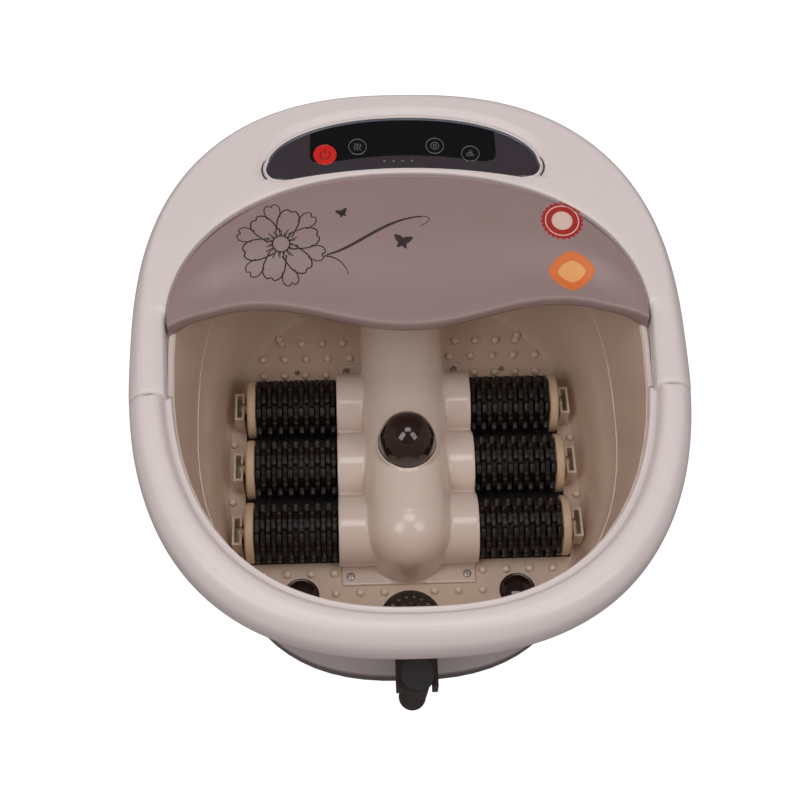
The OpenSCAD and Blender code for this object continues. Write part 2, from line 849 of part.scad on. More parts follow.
module lamp_window() {
    r = window_d / 2;
    color([0.2, 0.12, 0.1]) translate([0, window_y, ridge_top - 1.4])
        rotate_extrude($fn = 96)
            polygon(concat([[0, 0], [r, 0]],
                           [for (t = [0 : 6 : 84]) [r * cos(t), 1.4 + dome_h * sin(t)]],
                           [[0, 1.4 + dome_h]]));
}

module lamp_board() {
    color([0.1, 0.35, 0.2]) translate([0, window_y, 112]) {
        cylinder(h = board_t, r = 17, $fn = 48);
        for (k = [0 : 60 : 300])
            rotate([0, 0, k]) translate([11, 0, 1]) cylinder(h = 5, r = 2.5, $fn = 32);
    }
}

// ---------------------------------------------------------------- floor fittings

strainer_r = 25;
strainer_h = 9;
strainer_curve = 39.2;
strainer_hole_r = 1.6;

// Cap of a ball of radius curve, h high at its middle and cut off at radius r
module dome(r, h, curve) {
    rotate_extrude($fn = 96) intersection() {
        translate([0, h - curve]) circle(r = curve, $fn = 96);
        square([r, h + 3]);
    }
}

module floor_lenses() {
    color([0.1, 0.08, 0.08]) both_sides() translate([lens_xy[0], lens_xy[1], floor_z]) {
        translate([0, 0, -8]) cylinder(h = 9, r = 7.95, $fn = 48);
        translate([0, 0, 0.05]) dome(14, 5.8, 19.8);
    }
}

module strainer() {
    color([0.25, 0.22, 0.21]) translate([0, strainer_y, floor_z + 0.05]) difference() {
        dome(strainer_r, strainer_h, strainer_curve);
        translate([0, 0, -1]) dome(strainer_r - 2, strainer_h, strainer_curve - 1);
        for (n = [1 : 3], k = [0 : 6 * n - 1])
            rotate([0, 0, 60 * k / n]) translate([6 * n, 0, -1])
                cylinder(h = 20, r = strainer_hole_r, $fn = 16);
        cylinder(h = 20, r = strainer_hole_r, $fn = 16);
    }
}

// ---------------------------------------------------------------- drain

clip_z = 111;
hose_top = 122;
hose_r = hose_d / 2;
root_y = hose_y + 14.5;
lean = atan((root_y - hose_y) / (clip_z - hose_z));
hose_l = (hose_top - hose_z) / cos(lean);

// Frame at the swivel, with Z along the hose, which leans outwards to its clip
module at_hose() {
    translate([0, root_y, hose_z]) rotate([lean, 0, 0]) children();
}

module drain_spout() {
    color([0.2, 0.16, 0.15]) difference() {
        union() {
            pipe([[0, strainer_y, 52], [0, strainer_y, hose_z], [0, root_y + 5, hose_z]], spout_r);
            translate([0, strainer_y, 41]) cylinder(h = 10, r = sump_r - fit, $fn = 48);
        }
        pipe([[0, strainer_y, 60], [0, strainer_y, hose_z], [0, root_y, hose_z]], 6.5);
        translate([0, root_y, hose_z]) x_cylinder(-20, 20, hose_r + 0.3);
        at_hose() cylinder(h = 40, r = hose_r, $fn = 48);
    }
}

module drain_hose() {
    color([0.2, 0.16, 0.15]) difference() {
        at_hose() {
            x_cylinder(0.5 - hose_r, hose_r - 0.5, hose_r);
            cylinder(h = hose_l, r = hose_r - 0.4, $fn = 48);
        }
        at_hose() cylinder(h = 130, r = 7, $fn = 48);
        translate([0, root_y, hose_z]) box([-6.5, 0, -6.5], [6.5, 20, 6.5]);
    }
}

module drain_plug() {
    color([0.16, 0.13, 0.12]) at_hose() translate([0, 0, hose_l]) {
        translate([0, 0, 0.1]) cylinder(h = 8, r = 12.5, $fn = 48);
        translate([0, 0, -12]) cylinder(h = 14, r = 6.9, $fn = 48);
    }
}

module hose_clip() {
    color([0.2, 0.16, 0.15]) difference() {
        union() {
            box([-15.5, hose_y - 9, clip_z - 7], [15.5, -186.7, clip_z + 7]);
            translate([0, -195, clip_z]) rotate([-90, 0, 0]) cylinder(h = 14.4, r = pin_r, $fn = 32);
        }
        at_hose() {
            cylinder(h = 200, r = hose_r + 0.2, $fn = 48);
            box([-hose_r - 0.2, -30, 0], [hose_r + 0.2, 0, 200]);
        }
    }
}

// ---------------------------------------------------------------- water circuit

pump_y = 120;
pump_z = 30;
pump_r = 21;

module at_pump() {
    translate([0, pump_y, pump_z]) children();
}

module pump_housing() {
    color([0.3, 0.3, 0.32]) difference() {
        union() {
            at_pump() x_cylinder(60, 76, pump_r);
            translate([68, pump_y - 15, pump_z]) rotate([90, 0, 0])
                cylinder(h = 15, r = 5, $fn = 32);
        }
        at_pump() x_cylinder(62, 80, pump_r - 2.5);
        at_pump() x_cylinder(50, 80, 2 + run);
        translate([68, pump_y - 10, pump_z]) rotate([90, 0, 0]) cylinder(h = 30, r = 3, $fn = 32);
    }
}

module pump_cover() {
    color([0.3, 0.3, 0.32]) at_pump() difference() {
        union() {
            x_cylinder(76.05, 79, pump_r);
            x_cylinder(78, 90, 5);
        }
        x_cylinder(70, 100, 3);
    }
}

module pump_impeller() {
    color([0.85, 0.85, 0.82]) at_pump() {
        x_cylinder(64, 66, 17);
        x_cylinder(50, 70, 2);
        for (k = [0 : 60 : 300]) rotate([k, 0, 0]) box([65, 3, -0.8], [73, 16, 0.8]);
    }
}

module pump_motor() {
    color("silver") at_pump() difference() {
        x_cylinder(30, 59.9, 16);
        x_cylinder(48, 61, 2 + run);
    }
}

heater_y = 70;
hose_grip = 9;

module heater_tube() {
    color("silver") translate([0, heater_y, pump_z]) difference() {
        union() {
            x_cylinder(-70, 10, 11);
            x_cylinder(-80, 20, 5);
        }
        x_cylinder(-68, 8, 9);
        x_cylinder(-90, 30, 3);
    }
}

// Rubber hose with elbow blocks at its turns and a socket over the spigot at each end
module hose(points) {
    last = len(points) - 1;
    difference() {
        union() {
            for (i = [0 : last - 1]) rod(points[i], points[i + 1], 6.8);
            for (i = [1 : 1 : last - 1]) translate(points[i]) cube(15, center = true);
        }
        hose_socket(points[0], points[1]);
        hose_socket(points[last], points[last - 1]);
    }
}

module hose_socket(end, next) {
    rod(end, end + (next - end) * hose_grip / norm(next - end), 5 + fit);
}

module water_hoses() {
    color([0.75, 0.75, 0.72]) {
        hose([[jet_xy[0], jet_xy[1], jet_z], [jet_xy[0], jet_xy[1], pump_z],
              [102, pump_y, pump_z], [82, pump_y, pump_z]]);
        hose([[68, pump_y - 22, pump_z], [68, heater_y, pump_z], [12, heater_y, pump_z]]);
        hose([[-72, heater_y, pump_z], [-jet_xy[0], heater_y, pump_z],
              [-jet_xy[0], jet_xy[1], pump_z], [-jet_xy[0], jet_xy[1], jet_z]]);
    }
}

// ---------------------------------------------------------------- mains cord

cord_z = 30;
cord_r = 3.5;
cord_y = 193;
coil_x = 60;
coil_z = 48;
coil_step = 4.5;
grommet_r = 6;

// Half turn of the coiled cord around x = side * coil_x
module half_turn(side, r, z_c) {
    translate([side * coil_x, cord_y, z_c]) rotate([90, 0, 0])
        rotate([0, 0, side > 0 ? -90 : 90])
            rotate_extrude(angle = 180, $fn = 64) translate([r, 0]) circle(r = cord_r, $fn = 24);
}

module power_cord() {
    r0 = coil_z - cord_z;
    color([0.12, 0.12, 0.12]) {
        pipe([[0, 160, cord_z], [0, cord_y, cord_z], [coil_x, cord_y, cord_z]], cord_r);
        for (k = [0 : 2]) half_turn(1, r0 + coil_step * (2 * k + 1), coil_z + coil_step);
        for (k = [1 : 2]) {
            half_turn(-1, r0 + coil_step * 2 * k, coil_z);
            rod([-coil_x, cord_y, coil_z + r0 + coil_step * 2 * k],
                [coil_x, cord_y, coil_z + r0 + coil_step * 2 * k], cord_r);
            rod([-coil_x, cord_y, coil_z - r0 - coil_step * 2 * k],
                [coil_x, cord_y, coil_z - r0 - coil_step * 2 * k], cord_r);
        }
        top = coil_z + r0 + coil_step * 6;
        rod([coil_x, cord_y, top], [20, cord_y, top], cord_r);
        box([-8, cord_y - 6, top - 9], [22, cord_y + 6, top + 9]);
        for (s = [-1, 1])
            rod([-8, cord_y, top + 5 * s], [-24, cord_y, top + 5 * s], 2);
    }
}

module cord_grommet() {
    color([0.12, 0.12, 0.12]) difference() {
        union() {
            translate([0, 160, cord_z]) rotate([-90, 0, 0])
                cylinder(h = 22, r = grommet_r, $fn = 32);
            translate([0, 176, cord_z]) rotate([-90, 0, 0]) cylinder(h = 6, r = 9, $fn = 32);
        }
        translate([0, 150, cord_z]) rotate([-90, 0, 0])
            cylinder(h = 60, r = cord_r + fit, $fn = 32);
    }
}

base_pan();
rubber_feet();
base_screws();
outer_shell();
tub();
well_liners();
front_rim();
rear_hood();
rim_gasket();
splash_guard();
control_lens();
power_key();
heat_key();
massage_key();
bubble_key();
key_board();
main_board();
gearbox();
motor_can();
motor_pinion();
shaft_seal();
front_idler();
middle_idler();
rear_idler();
bearing_rail();
front_axle();
front_roller_left();
front_roller_right();
front_end_caps();
front_gear();
middle_axle();
middle_roller_left();
middle_roller_right();
middle_end_caps();
middle_gear();
rear_axle();
rear_roller_left();
rear_roller_right();
rear_end_caps();
rear_gear();
bearing_clips();
gear_cover();
cover_screws();
lamp_window();
lamp_board();
floor_lenses();
strainer();
drain_spout();
drain_hose();
drain_plug();
hose_clip();
pump_housing();
pump_cover();
pump_impeller();
pump_motor();
heater_tube();
water_hoses();
power_cord();
cord_grommet();
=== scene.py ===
"""Foot spa basin: smooth mouldings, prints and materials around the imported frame."""

import json
import math

import bpy
import numpy as np
from mathutils import Matrix, Vector


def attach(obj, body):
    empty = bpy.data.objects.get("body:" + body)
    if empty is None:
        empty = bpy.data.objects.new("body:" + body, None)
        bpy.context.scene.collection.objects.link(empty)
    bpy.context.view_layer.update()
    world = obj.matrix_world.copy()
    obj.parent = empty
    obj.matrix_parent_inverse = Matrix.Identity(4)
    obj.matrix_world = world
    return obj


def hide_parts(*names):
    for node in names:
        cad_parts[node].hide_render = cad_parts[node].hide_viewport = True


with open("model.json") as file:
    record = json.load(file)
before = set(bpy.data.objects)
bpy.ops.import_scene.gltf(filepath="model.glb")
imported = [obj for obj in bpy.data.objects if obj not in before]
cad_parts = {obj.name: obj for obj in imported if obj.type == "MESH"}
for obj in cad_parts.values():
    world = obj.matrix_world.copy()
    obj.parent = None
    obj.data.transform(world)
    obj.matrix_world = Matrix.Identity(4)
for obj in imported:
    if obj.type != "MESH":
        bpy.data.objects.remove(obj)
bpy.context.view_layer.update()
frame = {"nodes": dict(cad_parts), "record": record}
MM = 0.001

# ------------------------------------------------------------------ main sizes, mm
RIM_A, RIM_B, RIM_N = 205.0, 220.5, 2.5
EDGE_A, EDGE_B, EDGE_N = 174.0, 191.0, 2.46
FRONT_H, REAR_H = 227.0, 282.0
SLOPE = (REAR_H - FRONT_H) / (2 * RIM_B)
CREST = (FRONT_H + REAR_H) / 2
SEAM_Y = -37.5
GUARD_A, GUARD_B, GUARD_Y0 = 178.0, 126.0, 15.5
LENS_A, LENS_B, LENS_Y, LENS_END = 106.0, 46.4, 146.0, 10.5
FLOOR_A, FLOOR_B, FLOOR_N, FLOOR_Z = 149.6, 167.4, 2.56, 57.0
BAND_H = 16.0
AXIS_Z = 76.2
ROWS = {"front": -68.0, "middle": -11.0, "rear": 46.0}
ROLLER_R = 24.5
WINDOW_Y, WINDOW_R, DOME_H, RIDGE_TOP = -15.3, 23.0, 30.0, 127.0
FLOOR_LENS = (87.0, -115.5)
COVER_SCREWS = ((-47, -101), (47, -101), (-47, 92), (47, 92))
HOSE_ROOT_Y, HOSE_Z, HOSE_R, HOSE_L = -189.5, 22.0, 10.9, 101.3
HOSE_LEAN = math.atan(14.5 / 89)
FLOWER = (-94.0, 83.0)
DISC_LABEL = (118.6, 98.4)
LOZENGE_LABEL = (123.0, 57.5)


# ------------------------------------------------------------------ geometry helpers
def power(v, e):
    return np.sign(v) * np.abs(v) ** e


def oval(a, b, n, t):
    """Points of a superellipse with half-axes a and b at the angles t, in degrees."""
    t = np.radians(t)
    return np.stack([a * power(np.cos(t), 2 / n), b * power(np.sin(t), 2 / n)], -1)


def on_slope(x, y, dz):
    """Points dz above the sloping plane of the rim crest."""
    x, y, dz = np.broadcast_arrays(x, y, dz)
    return np.stack([x, y, CREST + SLOPE * y + dz], -1)


def mesh_object(name, verts, faces, smooth=True):
    mesh = bpy.data.meshes.new(name)
    mesh.from_pydata((np.asarray(verts) * MM).tolist(), [], faces)
    mesh.validate()
    mesh.polygons.foreach_set("use_smooth", [smooth] * len(mesh.polygons))
    mesh.update()
    obj = bpy.data.objects.new(name, mesh)
    bpy.context.scene.collection.objects.link(obj)
    return obj


def grid_faces(nu, nv, wrap_u, wrap_v, flip=False, start=0):
    """Quads of a grid of nu rows by nv columns."""
    faces = []
    for i in range(nu if wrap_u else nu - 1):
        for j in range(nv if wrap_v else nv - 1):
            i2, j2 = (i + 1) % nu, (j + 1) % nv
            quad = [i * nv + j, i2 * nv + j, i2 * nv + j2, i * nv + j2]
            faces.append([start + k for k in (quad[::-1] if flip else quad)])
    return faces


def swept(name, sections, flip=False):
    """Solid through closed sections, capped at both ends."""
    nu, nv = sections.shape[:2]
    faces = grid_faces(nu, nv, False, True, flip)
    first = list(range(nv))
    last = [(nu - 1) * nv + k for k in range(nv)]
    faces += [first if not flip else first[::-1], last[::-1] if not flip else last]
    return mesh_object(name, sections.reshape(-1, 3), faces)


def hoop(name, rings, flip=False):
    """Closed band through closed rings; the last ring joins the first."""
    nu, nv = rings.shape[:2]
    return mesh_object(name, rings.reshape(-1, 3), grid_faces(nu, nv, True, True, flip))


def lathe(name, profile, place, segments=96):
    """Profile of [radius, height] pairs turned around a local Z axis, then placed."""
    profile = np.asarray(profile, float)
    turn = np.radians(np.arange(segments) * 360 / segments)
    rings = [
        np.stack([r * np.cos(turn), r * np.sin(turn), np.full(segments, z)], -1)
        for r, z in profile
    ]
    verts = np.concatenate(rings)
    faces = grid_faces(len(profile), segments, False, True, flip=True)
    faces.append(list(range(segments))[::-1])
    faces.append([(len(profile) - 1) * segments + k for k in range(segments)])
    obj = mesh_object(name, verts, faces)
    move = place.copy()
    move.translation = move.translation * MM
    obj.data.transform(move)
    return obj


def rounded(profile, r, steps=5):
    """Open polyline of [radius, height] with its inner corners rounded to radius r."""
    p = np.asarray(profile, float)
    out = [p[0]]
    for a, b, c in zip(p[:-2], p[1:-1], p[2:]):
        u, v = (a - b), (c - b)
        lu, lv = np.linalg.norm(u), np.linalg.norm(v)
        d = min(r, lu / 2.2, lv / 2.2)
        p0, p2 = b + u / lu * d, b + v / lv * d
        for s in np.linspace(0, 1, steps):
            out.append((1 - s) ** 2 * p0 + 2 * s * (1 - s) * b + s * s * p2)
    out.append(p[-1])
    return np.array(out)


def at(x, y, z):
    return Matrix.Translation((x, y, z))


def along_x(x, y, z, side=1):
    """Frame whose Z axis points along +X, or -X for side -1."""
    return at(x, y, z) @ Matrix.Rotation(math.radians(90 * side), 4, "Y")


def joined(name, objects):
    """One object from several, which are removed."""
    verts, faces, base = [], [], 0
    for o in objects:
        verts.append(np.array([v.co for v in o.data.vertices]) / MM)
        faces += [[base + k for k in f.vertices] for f in o.data.polygons]
        base += len(o.data.vertices)
        bpy.data.objects.remove(o)
    return mesh_object(name, np.concatenate(verts), faces)


# ------------------------------------------------------------------ materials
class Nodes:
    """Short calls for building one node material."""

    def __init__(self, name):
        self.mat = bpy.data.materials.new(name)
        self.mat.use_nodes = True
        self.tree = self.mat.node_tree
        self.bsdf = self.tree.nodes["Principled BSDF"]

    def add(self, kind, **inputs):
        node = self.tree.nodes.new(kind)
        for key, value in inputs.items():
            node.inputs[key.replace("_", " ")].default_value = value
        return node

    def link(self, a, b):
        self.tree.links.new(a, b)

    def set(self, **inputs):
        for key, value in inputs.items():
            self.bsdf.inputs[key.replace("_", " ")].default_value = value

    def position(self):
        return self.add("ShaderNodeTexCoord").outputs["Object"]

    def noise(self, scale, detail=3.0, roughness=0.5):
        node = self.add("ShaderNodeTexNoise", Scale=scale, Detail=detail, Roughness=roughness)
        self.link(self.position(), node.inputs["Vector"])
        return node.outputs["Fac"]

    def ramp(self, fac, low, high):
        node = self.add("ShaderNodeMapRange")
        node.inputs["To Min"].default_value = low
        node.inputs["To Max"].default_value = high
        self.link(fac, node.inputs["Value"])
        return node.outputs["Result"]

    def mix(self, fac, a, b):
        node = self.tree.nodes.new("ShaderNodeMix")
        node.data_type = "RGBA"
        for socket, value in ((node.inputs[6], a), (node.inputs[7], b)):
            if isinstance(value, bpy.types.NodeSocket):
                self.link(value, socket)
            else:
                socket.default_value = (*value, 1)
        self.link(fac, node.inputs[0])
        return node.outputs[2]

    def bump(self, height, strength, distance=0.0004):
        node = self.add("ShaderNodeBump", Strength=strength, Distance=distance)
        self.link(height, node.inputs["Height"])
        self.link(node.outputs["Normal"], self.bsdf.inputs["Normal"])


def linear(rgb):
    """sRGB values from 0 to 255 as linear ones."""
    c = np.asarray(rgb, float) / 255
    return tuple(np.where(c <= 0.04045, c / 12.92, ((c + 0.055) / 1.055) ** 2.4))


def plastic(name, rgb, rough=0.4, grain=0.15, grain_scale=1400, cloud=0.05, coat=0.0, glow=0.0):
    """Moulded plastic: slight cloudiness in colour, uneven gloss and a fine grain."""
    m = Nodes(name)
    base = np.array(linear(rgb))
    cloudy = m.noise(7, 4)
    m.link(m.mix(cloudy, tuple(base * (1 - cloud)), tuple(np.minimum(base * (1 + cloud), 1))),
           m.bsdf.inputs["Base Color"])
    m.link(m.ramp(m.noise(38, 5), rough - 0.05, rough + 0.06), m.bsdf.inputs["Roughness"])
    m.bump(m.noise(grain_scale, 2), grain, 0.00012)
    m.set(Coat_Weight=coat, Coat_Roughness=0.12, Subsurface_Weight=glow,
          Subsurface_Radius=(0.01, 0.006, 0.004), Subsurface_Scale=0.3)
    return m.mat


def metal(name, rgb, rough=0.3):
    """Brushed steel: fine streaks in its roughness and bump."""
    m = Nodes(name)
    m.set(Base_Color=(*linear(rgb), 1), Metallic=1.0)
    m.link(m.ramp(m.noise(900, 2), rough - 0.08, rough + 0.1), m.bsdf.inputs["Roughness"])
    m.bump(m.noise(2200, 1), 0.1, 0.0001)
    return m.mat


def glossy(name, rgb, rough=0.06, cloud=0.1):
    """Polished window plastic with a clear coat and faint mottling."""
    m = Nodes(name)
    base = np.array(linear(rgb))
    m.link(m.mix(m.noise(30, 4), tuple(base * (1 - cloud)), tuple(base * (1 + cloud))),
           m.bsdf.inputs["Base Color"])
    m.link(m.ramp(m.noise(60, 3), rough, rough + 0.05), m.bsdf.inputs["Roughness"])
    m.set(Coat_Weight=0.6, Coat_Roughness=0.04)
    return m.mat


MATERIALS = {
    "white_shell": plastic("white_shell", (227, 214, 213), 0.36, 0.12, 1500, 0.02, 0.12, 0.05),
    "cream_tub": plastic("cream_tub", (226, 202, 184), 0.30, 0.08, 900, 0.03, 0.15, 0.08),
    # Nubs and wall bead: the tub's own cream made lighter, a painted highlight; their gloss and coat are
    # real.
    "nub_cream_painted_highlight": plastic("nub_cream_painted_highlight", (236, 218, 200), 0.22, 0.05, 900, 0.03, 0.4, 0.1),
    "cream_clip": plastic("cream_clip", (226, 206, 186), 0.34, 0.08, 1200, 0.03, 0.1),
    "cream_cover": plastic("cream_cover", (224, 206, 195), 0.2, 0.05, 900, 0.02, 0.25, 0.08),
    "grey_base": plastic("grey_base", (122, 110, 112), 0.5, 0.3, 1500, 0.05),
    "grey_guard": plastic("grey_guard", (150, 127, 125), 0.38, 0.2, 1800, 0.03, 0.1),
    "beige_clip": plastic("beige_clip", (212, 184, 154), 0.38, 0.1, 1200, 0.04),
    "dark_liner": plastic("dark_liner", (62, 60, 62), 0.45, 0.2, 1200, 0.08),
    "dark_housing": plastic("dark_housing", (45, 45, 48), 0.5, 0.3, 900, 0.08),
    "dark_strainer": plastic("dark_strainer", (52, 43, 40), 0.35, 0.1, 1200, 0.1),
    "roller_brown": plastic("roller_brown", (34, 24, 21), 0.46, 0.1, 1300, 0.12, 0.03),
    "hose_rubber": plastic("hose_rubber", (58, 46, 43), 0.5, 0.3, 1500, 0.12),
    "hose_clip": plastic("hose_clip", (58, 44, 38), 0.4, 0.15, 1300, 0.12),
    "rubber": plastic("rubber", (40, 38, 38), 0.6, 0.4, 1500, 0.1),
    "cord": plastic("cord", (34, 33, 34), 0.45, 0.2, 1500, 0.1),
    "silicone_hose": plastic("silicone_hose", (205, 203, 196), 0.35, 0.1, 900, 0.03, 0.0, 0.2),
    "acetal": plastic("acetal", (232, 228, 215), 0.35, 0.05, 900, 0.03),
    "circuit_board": plastic("circuit_board", (30, 92, 58), 0.35, 0.4, 500, 0.2),
    "steel": metal("steel", (200, 198, 195), 0.25),
    "motor_metal": metal("motor_metal", (170, 170, 168), 0.35),
    "black_lens": glossy("black_lens", (13, 13, 16)),
    "brown_lens": glossy("brown_lens", (44, 29, 26), 0.08),
    "red_key": glossy("red_key", (214, 30, 26), 0.25),
    "smoked_lens": glossy("smoked_lens", (62, 54, 60), 0.07, 0.06),
    # Blue-grey line on the lens's top edge: a painted highlight on its bevelled rim.
    "lens_edge_painted_highlight": glossy("lens_edge_painted_highlight", (74, 82, 98), 0.2, 0.05),
    "dark_print": plastic("dark_print", (52, 36, 38), 0.5, 0.2, 2000, 0.1),
    "key_print": plastic("key_print", (110, 108, 110), 0.4, 0.1, 2000, 0.1),
    "red_label": plastic("red_label", (172, 38, 34), 0.35, 0.1, 2000, 0.15),
    "pale_label": plastic("pale_label", (222, 190, 180), 0.4, 0.1, 2000, 0.1),
    "orange_label": plastic("orange_label", (222, 112, 44), 0.4, 0.1, 2000, 0.1),
    "pale_orange": plastic("pale_orange", (236, 164, 96), 0.4, 0.1, 2000, 0.1),
    "black_key": glossy("black_key", (17, 17, 19), 0.12),
}


# CAD nodes shown in another shade than their slot's
SHADE = {"bearing_clips": "cream_clip", "rim_gasket": "white_shell"}


def dress(obj, slot, body=None, *nodes):
    """Gives a piece its material and body and, where it stands for CAD nodes, hides them."""
    obj.data.materials.clear()
    obj.data.materials.append(MATERIALS[slot])
    if body:
        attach(obj, body)
    if nodes:
        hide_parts(*nodes)
    return obj


# ------------------------------------------------------------------ rim and hood
OUTER_TOP = [(12, -32), (3, -31.4), (0.4, -30), (0, -25), (0, -18), (1.3, -10), (5.3, -4), (9, -0.8),
             (12.4, 0)]
OUTER_UNDER = [(12.4, -2.8), (10, -3.6), (7.5, -6.2), (4, -11), (2.8, -18), (2.8, -25), (4.5, -28.6),
               (12, -29.4)]
RIM_LIP = [(14, 0), (10, -0.8), (7, -3.2), (5.2, -7.2), (4.6, -9.6), (3.6, -9.9), (1.4, -9.4), (0.2, -9.9),
           (-0.5, -11.5), (-0.5, -15), (2.5, -15), (3.4, -12), (5.5, -10.4), (14, -2.8)]
ARM_LIP = [(14, 0), (7, -0.8), (2.2, -2.6), (0.9, -5.5), (0.7, -7), (0.7, -8.4), (0.7, -9.2), (0.6, -10.4),
           (0.5, -12.5), (0.5, -15), (2.5, -15), (3.4, -12), (5.5, -8), (14, -2.8)]
HOOD_LIP = [(14, 0), (8, -0.2), (5, -0.4), (2.8, -0.7), (1.6, -1.0), (1.0, -1.4), (0.6, -2.2), (0.5, -5.2),
            (-8, -5.2), (-8, -7.8), (2, -7.8), (4, -6.5), (6, -5.0), (14, -2.8)]


def rim_angle(y):
    """Angle at which the outer edge of the rim crosses y."""
    return math.degrees(math.asin(power(y / RIM_B, RIM_N / 2)))


def softened(profile, rounds=2):
    """Open profile with its corners cut, keeping both ends."""
    p = np.asarray(profile, float)
    for _ in range(rounds):
        cut = np.stack([0.75 * p[:-1] + 0.25 * p[1:], 0.25 * p[:-1] + 0.75 * p[1:]], 1)
        p = np.concatenate([p[:1], cut.reshape(-1, p.shape[1])[1:-1], p[-1:]])
    return p


def smoothstep(x):
    x = np.clip(x, 0, 1)
    return x * x * (3 - 2 * x)


def lens_outline(grow=0.0):
    """Closed outline of the control lens, grown outwards."""
    t = np.linspace(14, 166, 153)
    top = oval(LENS_A, LENS_B, 2.1, t) + [0, LENS_Y]
    turn = np.radians(np.linspace(-85, 5, 19))
    cap = LENS_END * np.stack([np.cos(turn), np.sin(turn)], -1) + [LENS_A - LENS_END, LENS_Y + 1]
    x = np.linspace(-90, 90, 91)
    under = np.stack([x, LENS_Y - 0.8 - 9 * (x / 88) ** 2], -1)
    outline = np.concatenate([under, cap, top, (cap * [-1, 1])[::-1]])
    after, before = np.roll(outline, -1, 0), np.roll(outline, 1, 0)
    along = after - before
    normal = np.stack([along[:, 1], -along[:, 0]], -1)
    normal /= np.linalg.norm(normal, axis=1, keepdims=True)
    return outline + normal * grow


def lens_distance(xy):
    """Distance of points outside the lens outline; negative inside it."""
    outline = lens_outline()
    after = np.roll(outline, -1, 0)
    edge = after - outline
    best = np.full(len(xy), 1e9)
    inside = np.zeros(len(xy), bool)
    for p, q, e in zip(outline, after, edge):
        f = np.clip(((xy - p) @ e) / (e @ e), 0, 1)
        best = np.minimum(best, np.linalg.norm(xy - p - f[:, None] * e, axis=1))
        crosses = (p[1] > xy[:, 1]) != (q[1] > xy[:, 1])
        at_x = p[0] + (xy[:, 1] - p[1]) * e[0] / (e[1] if e[1] else 1e-9)
        inside ^= crosses & (xy[:, 0] < at_x)
    return np.where(inside, -best, best)


def rim_sections(outer, inner, lips, swell, deck=2, pocket=False):
    """Closed sections between outer and inner points, of shape (stations, points, 3)."""
    gap = inner - outer
    unit = gap / np.linalg.norm(gap, axis=1, keepdims=True)
    top, under = softened(OUTER_TOP), softened(OUTER_UNDER)
    top_xy = outer[:, None] + unit[:, None] * top[None, :, :1]
    lip_xy = inner[:, None] - unit[:, None] * lips[..., :1]
    under_xy = outer[:, None] + unit[:, None] * under[None, :, :1]
    lift = swell[:, None]
    f = np.linspace(0, 1, deck + 2)[None, 1:-1, None]
    deck_xy = top_xy[:, -1:] * (1 - f) + lip_xy[:, :1] * f
    deck_dz = np.zeros(deck_xy.shape[:2])
    lip_dz = lips[..., 1].copy()
    if pocket:
        flat = deck_xy.reshape(-1, 2)
        d = lens_distance(flat).reshape(deck_dz.shape)
        deck_dz = -2.4 * (1 - smoothstep((d - 1.5) / 8.5)) - 2.5 * smoothstep((0.6 - d) / 1.2)
        d = lens_distance(lip_xy.reshape(-1, 2)).reshape(lip_dz.shape)
        low = -0.8 * (1 - smoothstep((d - 1.5) / 5)) - 3.6 * smoothstep((0.9 - d) / 1.2)
        lip_dz += np.where(lip_dz > -1.3, low, 0)
    parts = [on_slope(top_xy[..., 0], top_xy[..., 1], top[None, :, 1] + lift * (top[None, :, 1] > -29)),
             on_slope(deck_xy[..., 0], deck_xy[..., 1], deck_dz + lift),
             on_slope(lip_xy[..., 0], lip_xy[..., 1], lip_dz + lift * (lip_dz > -4)),
             on_slope(under_xy[..., 0], under_xy[..., 1], under[None, :, 1] + 0 * lift)]
    return np.concatenate(parts, axis=1)


def build_front_rim():
    start = rim_angle(SEAM_Y - 0.35)
    t = np.linspace(180 - start, 360 + start, 301)
    outer = oval(RIM_A, RIM_B, RIM_N, t)
    inner = oval(EDGE_A, EDGE_B, EDGE_N, t)
    inner[[0, -1], 1] = outer[[0, -1], 1]
    lips = np.repeat(softened(RIM_LIP)[None], len(t), 0)
    from_seam = np.abs(outer[:, 1] - SEAM_Y)
    edge = -0.7 * np.exp(-from_seam / 0.7)
    rim = swept("front_rim_surface", rim_sections(outer, inner, lips, edge), True)
    dress(rim, "white_shell", "basin", "front_rim")


def hood_inner(t, outer):
    """Inner edge of the hood: straight beside the guard's corners, then around the guard."""
    t1 = rim_angle(GUARD_Y0)
    side = np.where(t > 90, -1, 1)
    u = np.where(t > 90, 180 - t, t)
    arc = oval(GUARD_A, GUARD_B, 2.2, 90 * (u - t1) / (90 - t1)) + [0, GUARD_Y0]
    f = (outer[:, 1] - SEAM_Y) / (GUARD_Y0 - SEAM_Y)
    arm = np.stack([EDGE_A + 1 + (GUARD_A - EDGE_A - 1) * f, outer[:, 1]], -1)
    inner = np.where((u < t1)[:, None], arm, arc)
    inner[:, 0] *= side
    return inner, np.clip((u - t1 - 2) / 3, 0, 1)


def build_rear_hood():
    start = rim_angle(SEAM_Y + 0.35)
    u = np.linspace(-1, 1, 541)
    t = 90 + (90 - start) * np.sign(u) * np.abs(u) ** 0.92
    outer = oval(RIM_A, RIM_B, RIM_N, t)
    inner, blend = hood_inner(t, outer)
    b = blend[:, None, None]
    lips = softened(ARM_LIP, 3)[None] * (1 - b) + softened(HOOD_LIP, 3)[None] * b
    from_seam = np.abs(outer[:, 1] - SEAM_Y)
    swell = 1.3 * np.clip(from_seam / 3, 0, 1) ** 0.5 * np.exp(-((from_seam / 20) ** 2))
    swell -= 0.7 * np.exp(-from_seam / 0.7)
    sections = rim_sections(outer, inner, lips, swell, 60, True)
    dress(swept("rear_hood_surface", sections), "white_shell", "basin", "rear_hood")


# ------------------------------------------------------------------ control lens and keys
KEYS = {"power_key": (-60.2, 159.0, 9.0), "heat_key": (-35.0, 165.6, 7.25),
        "massage_key": (24.8, 165.6, 7.25), "bubble_key": (52.1, 158.1, 7.25)}


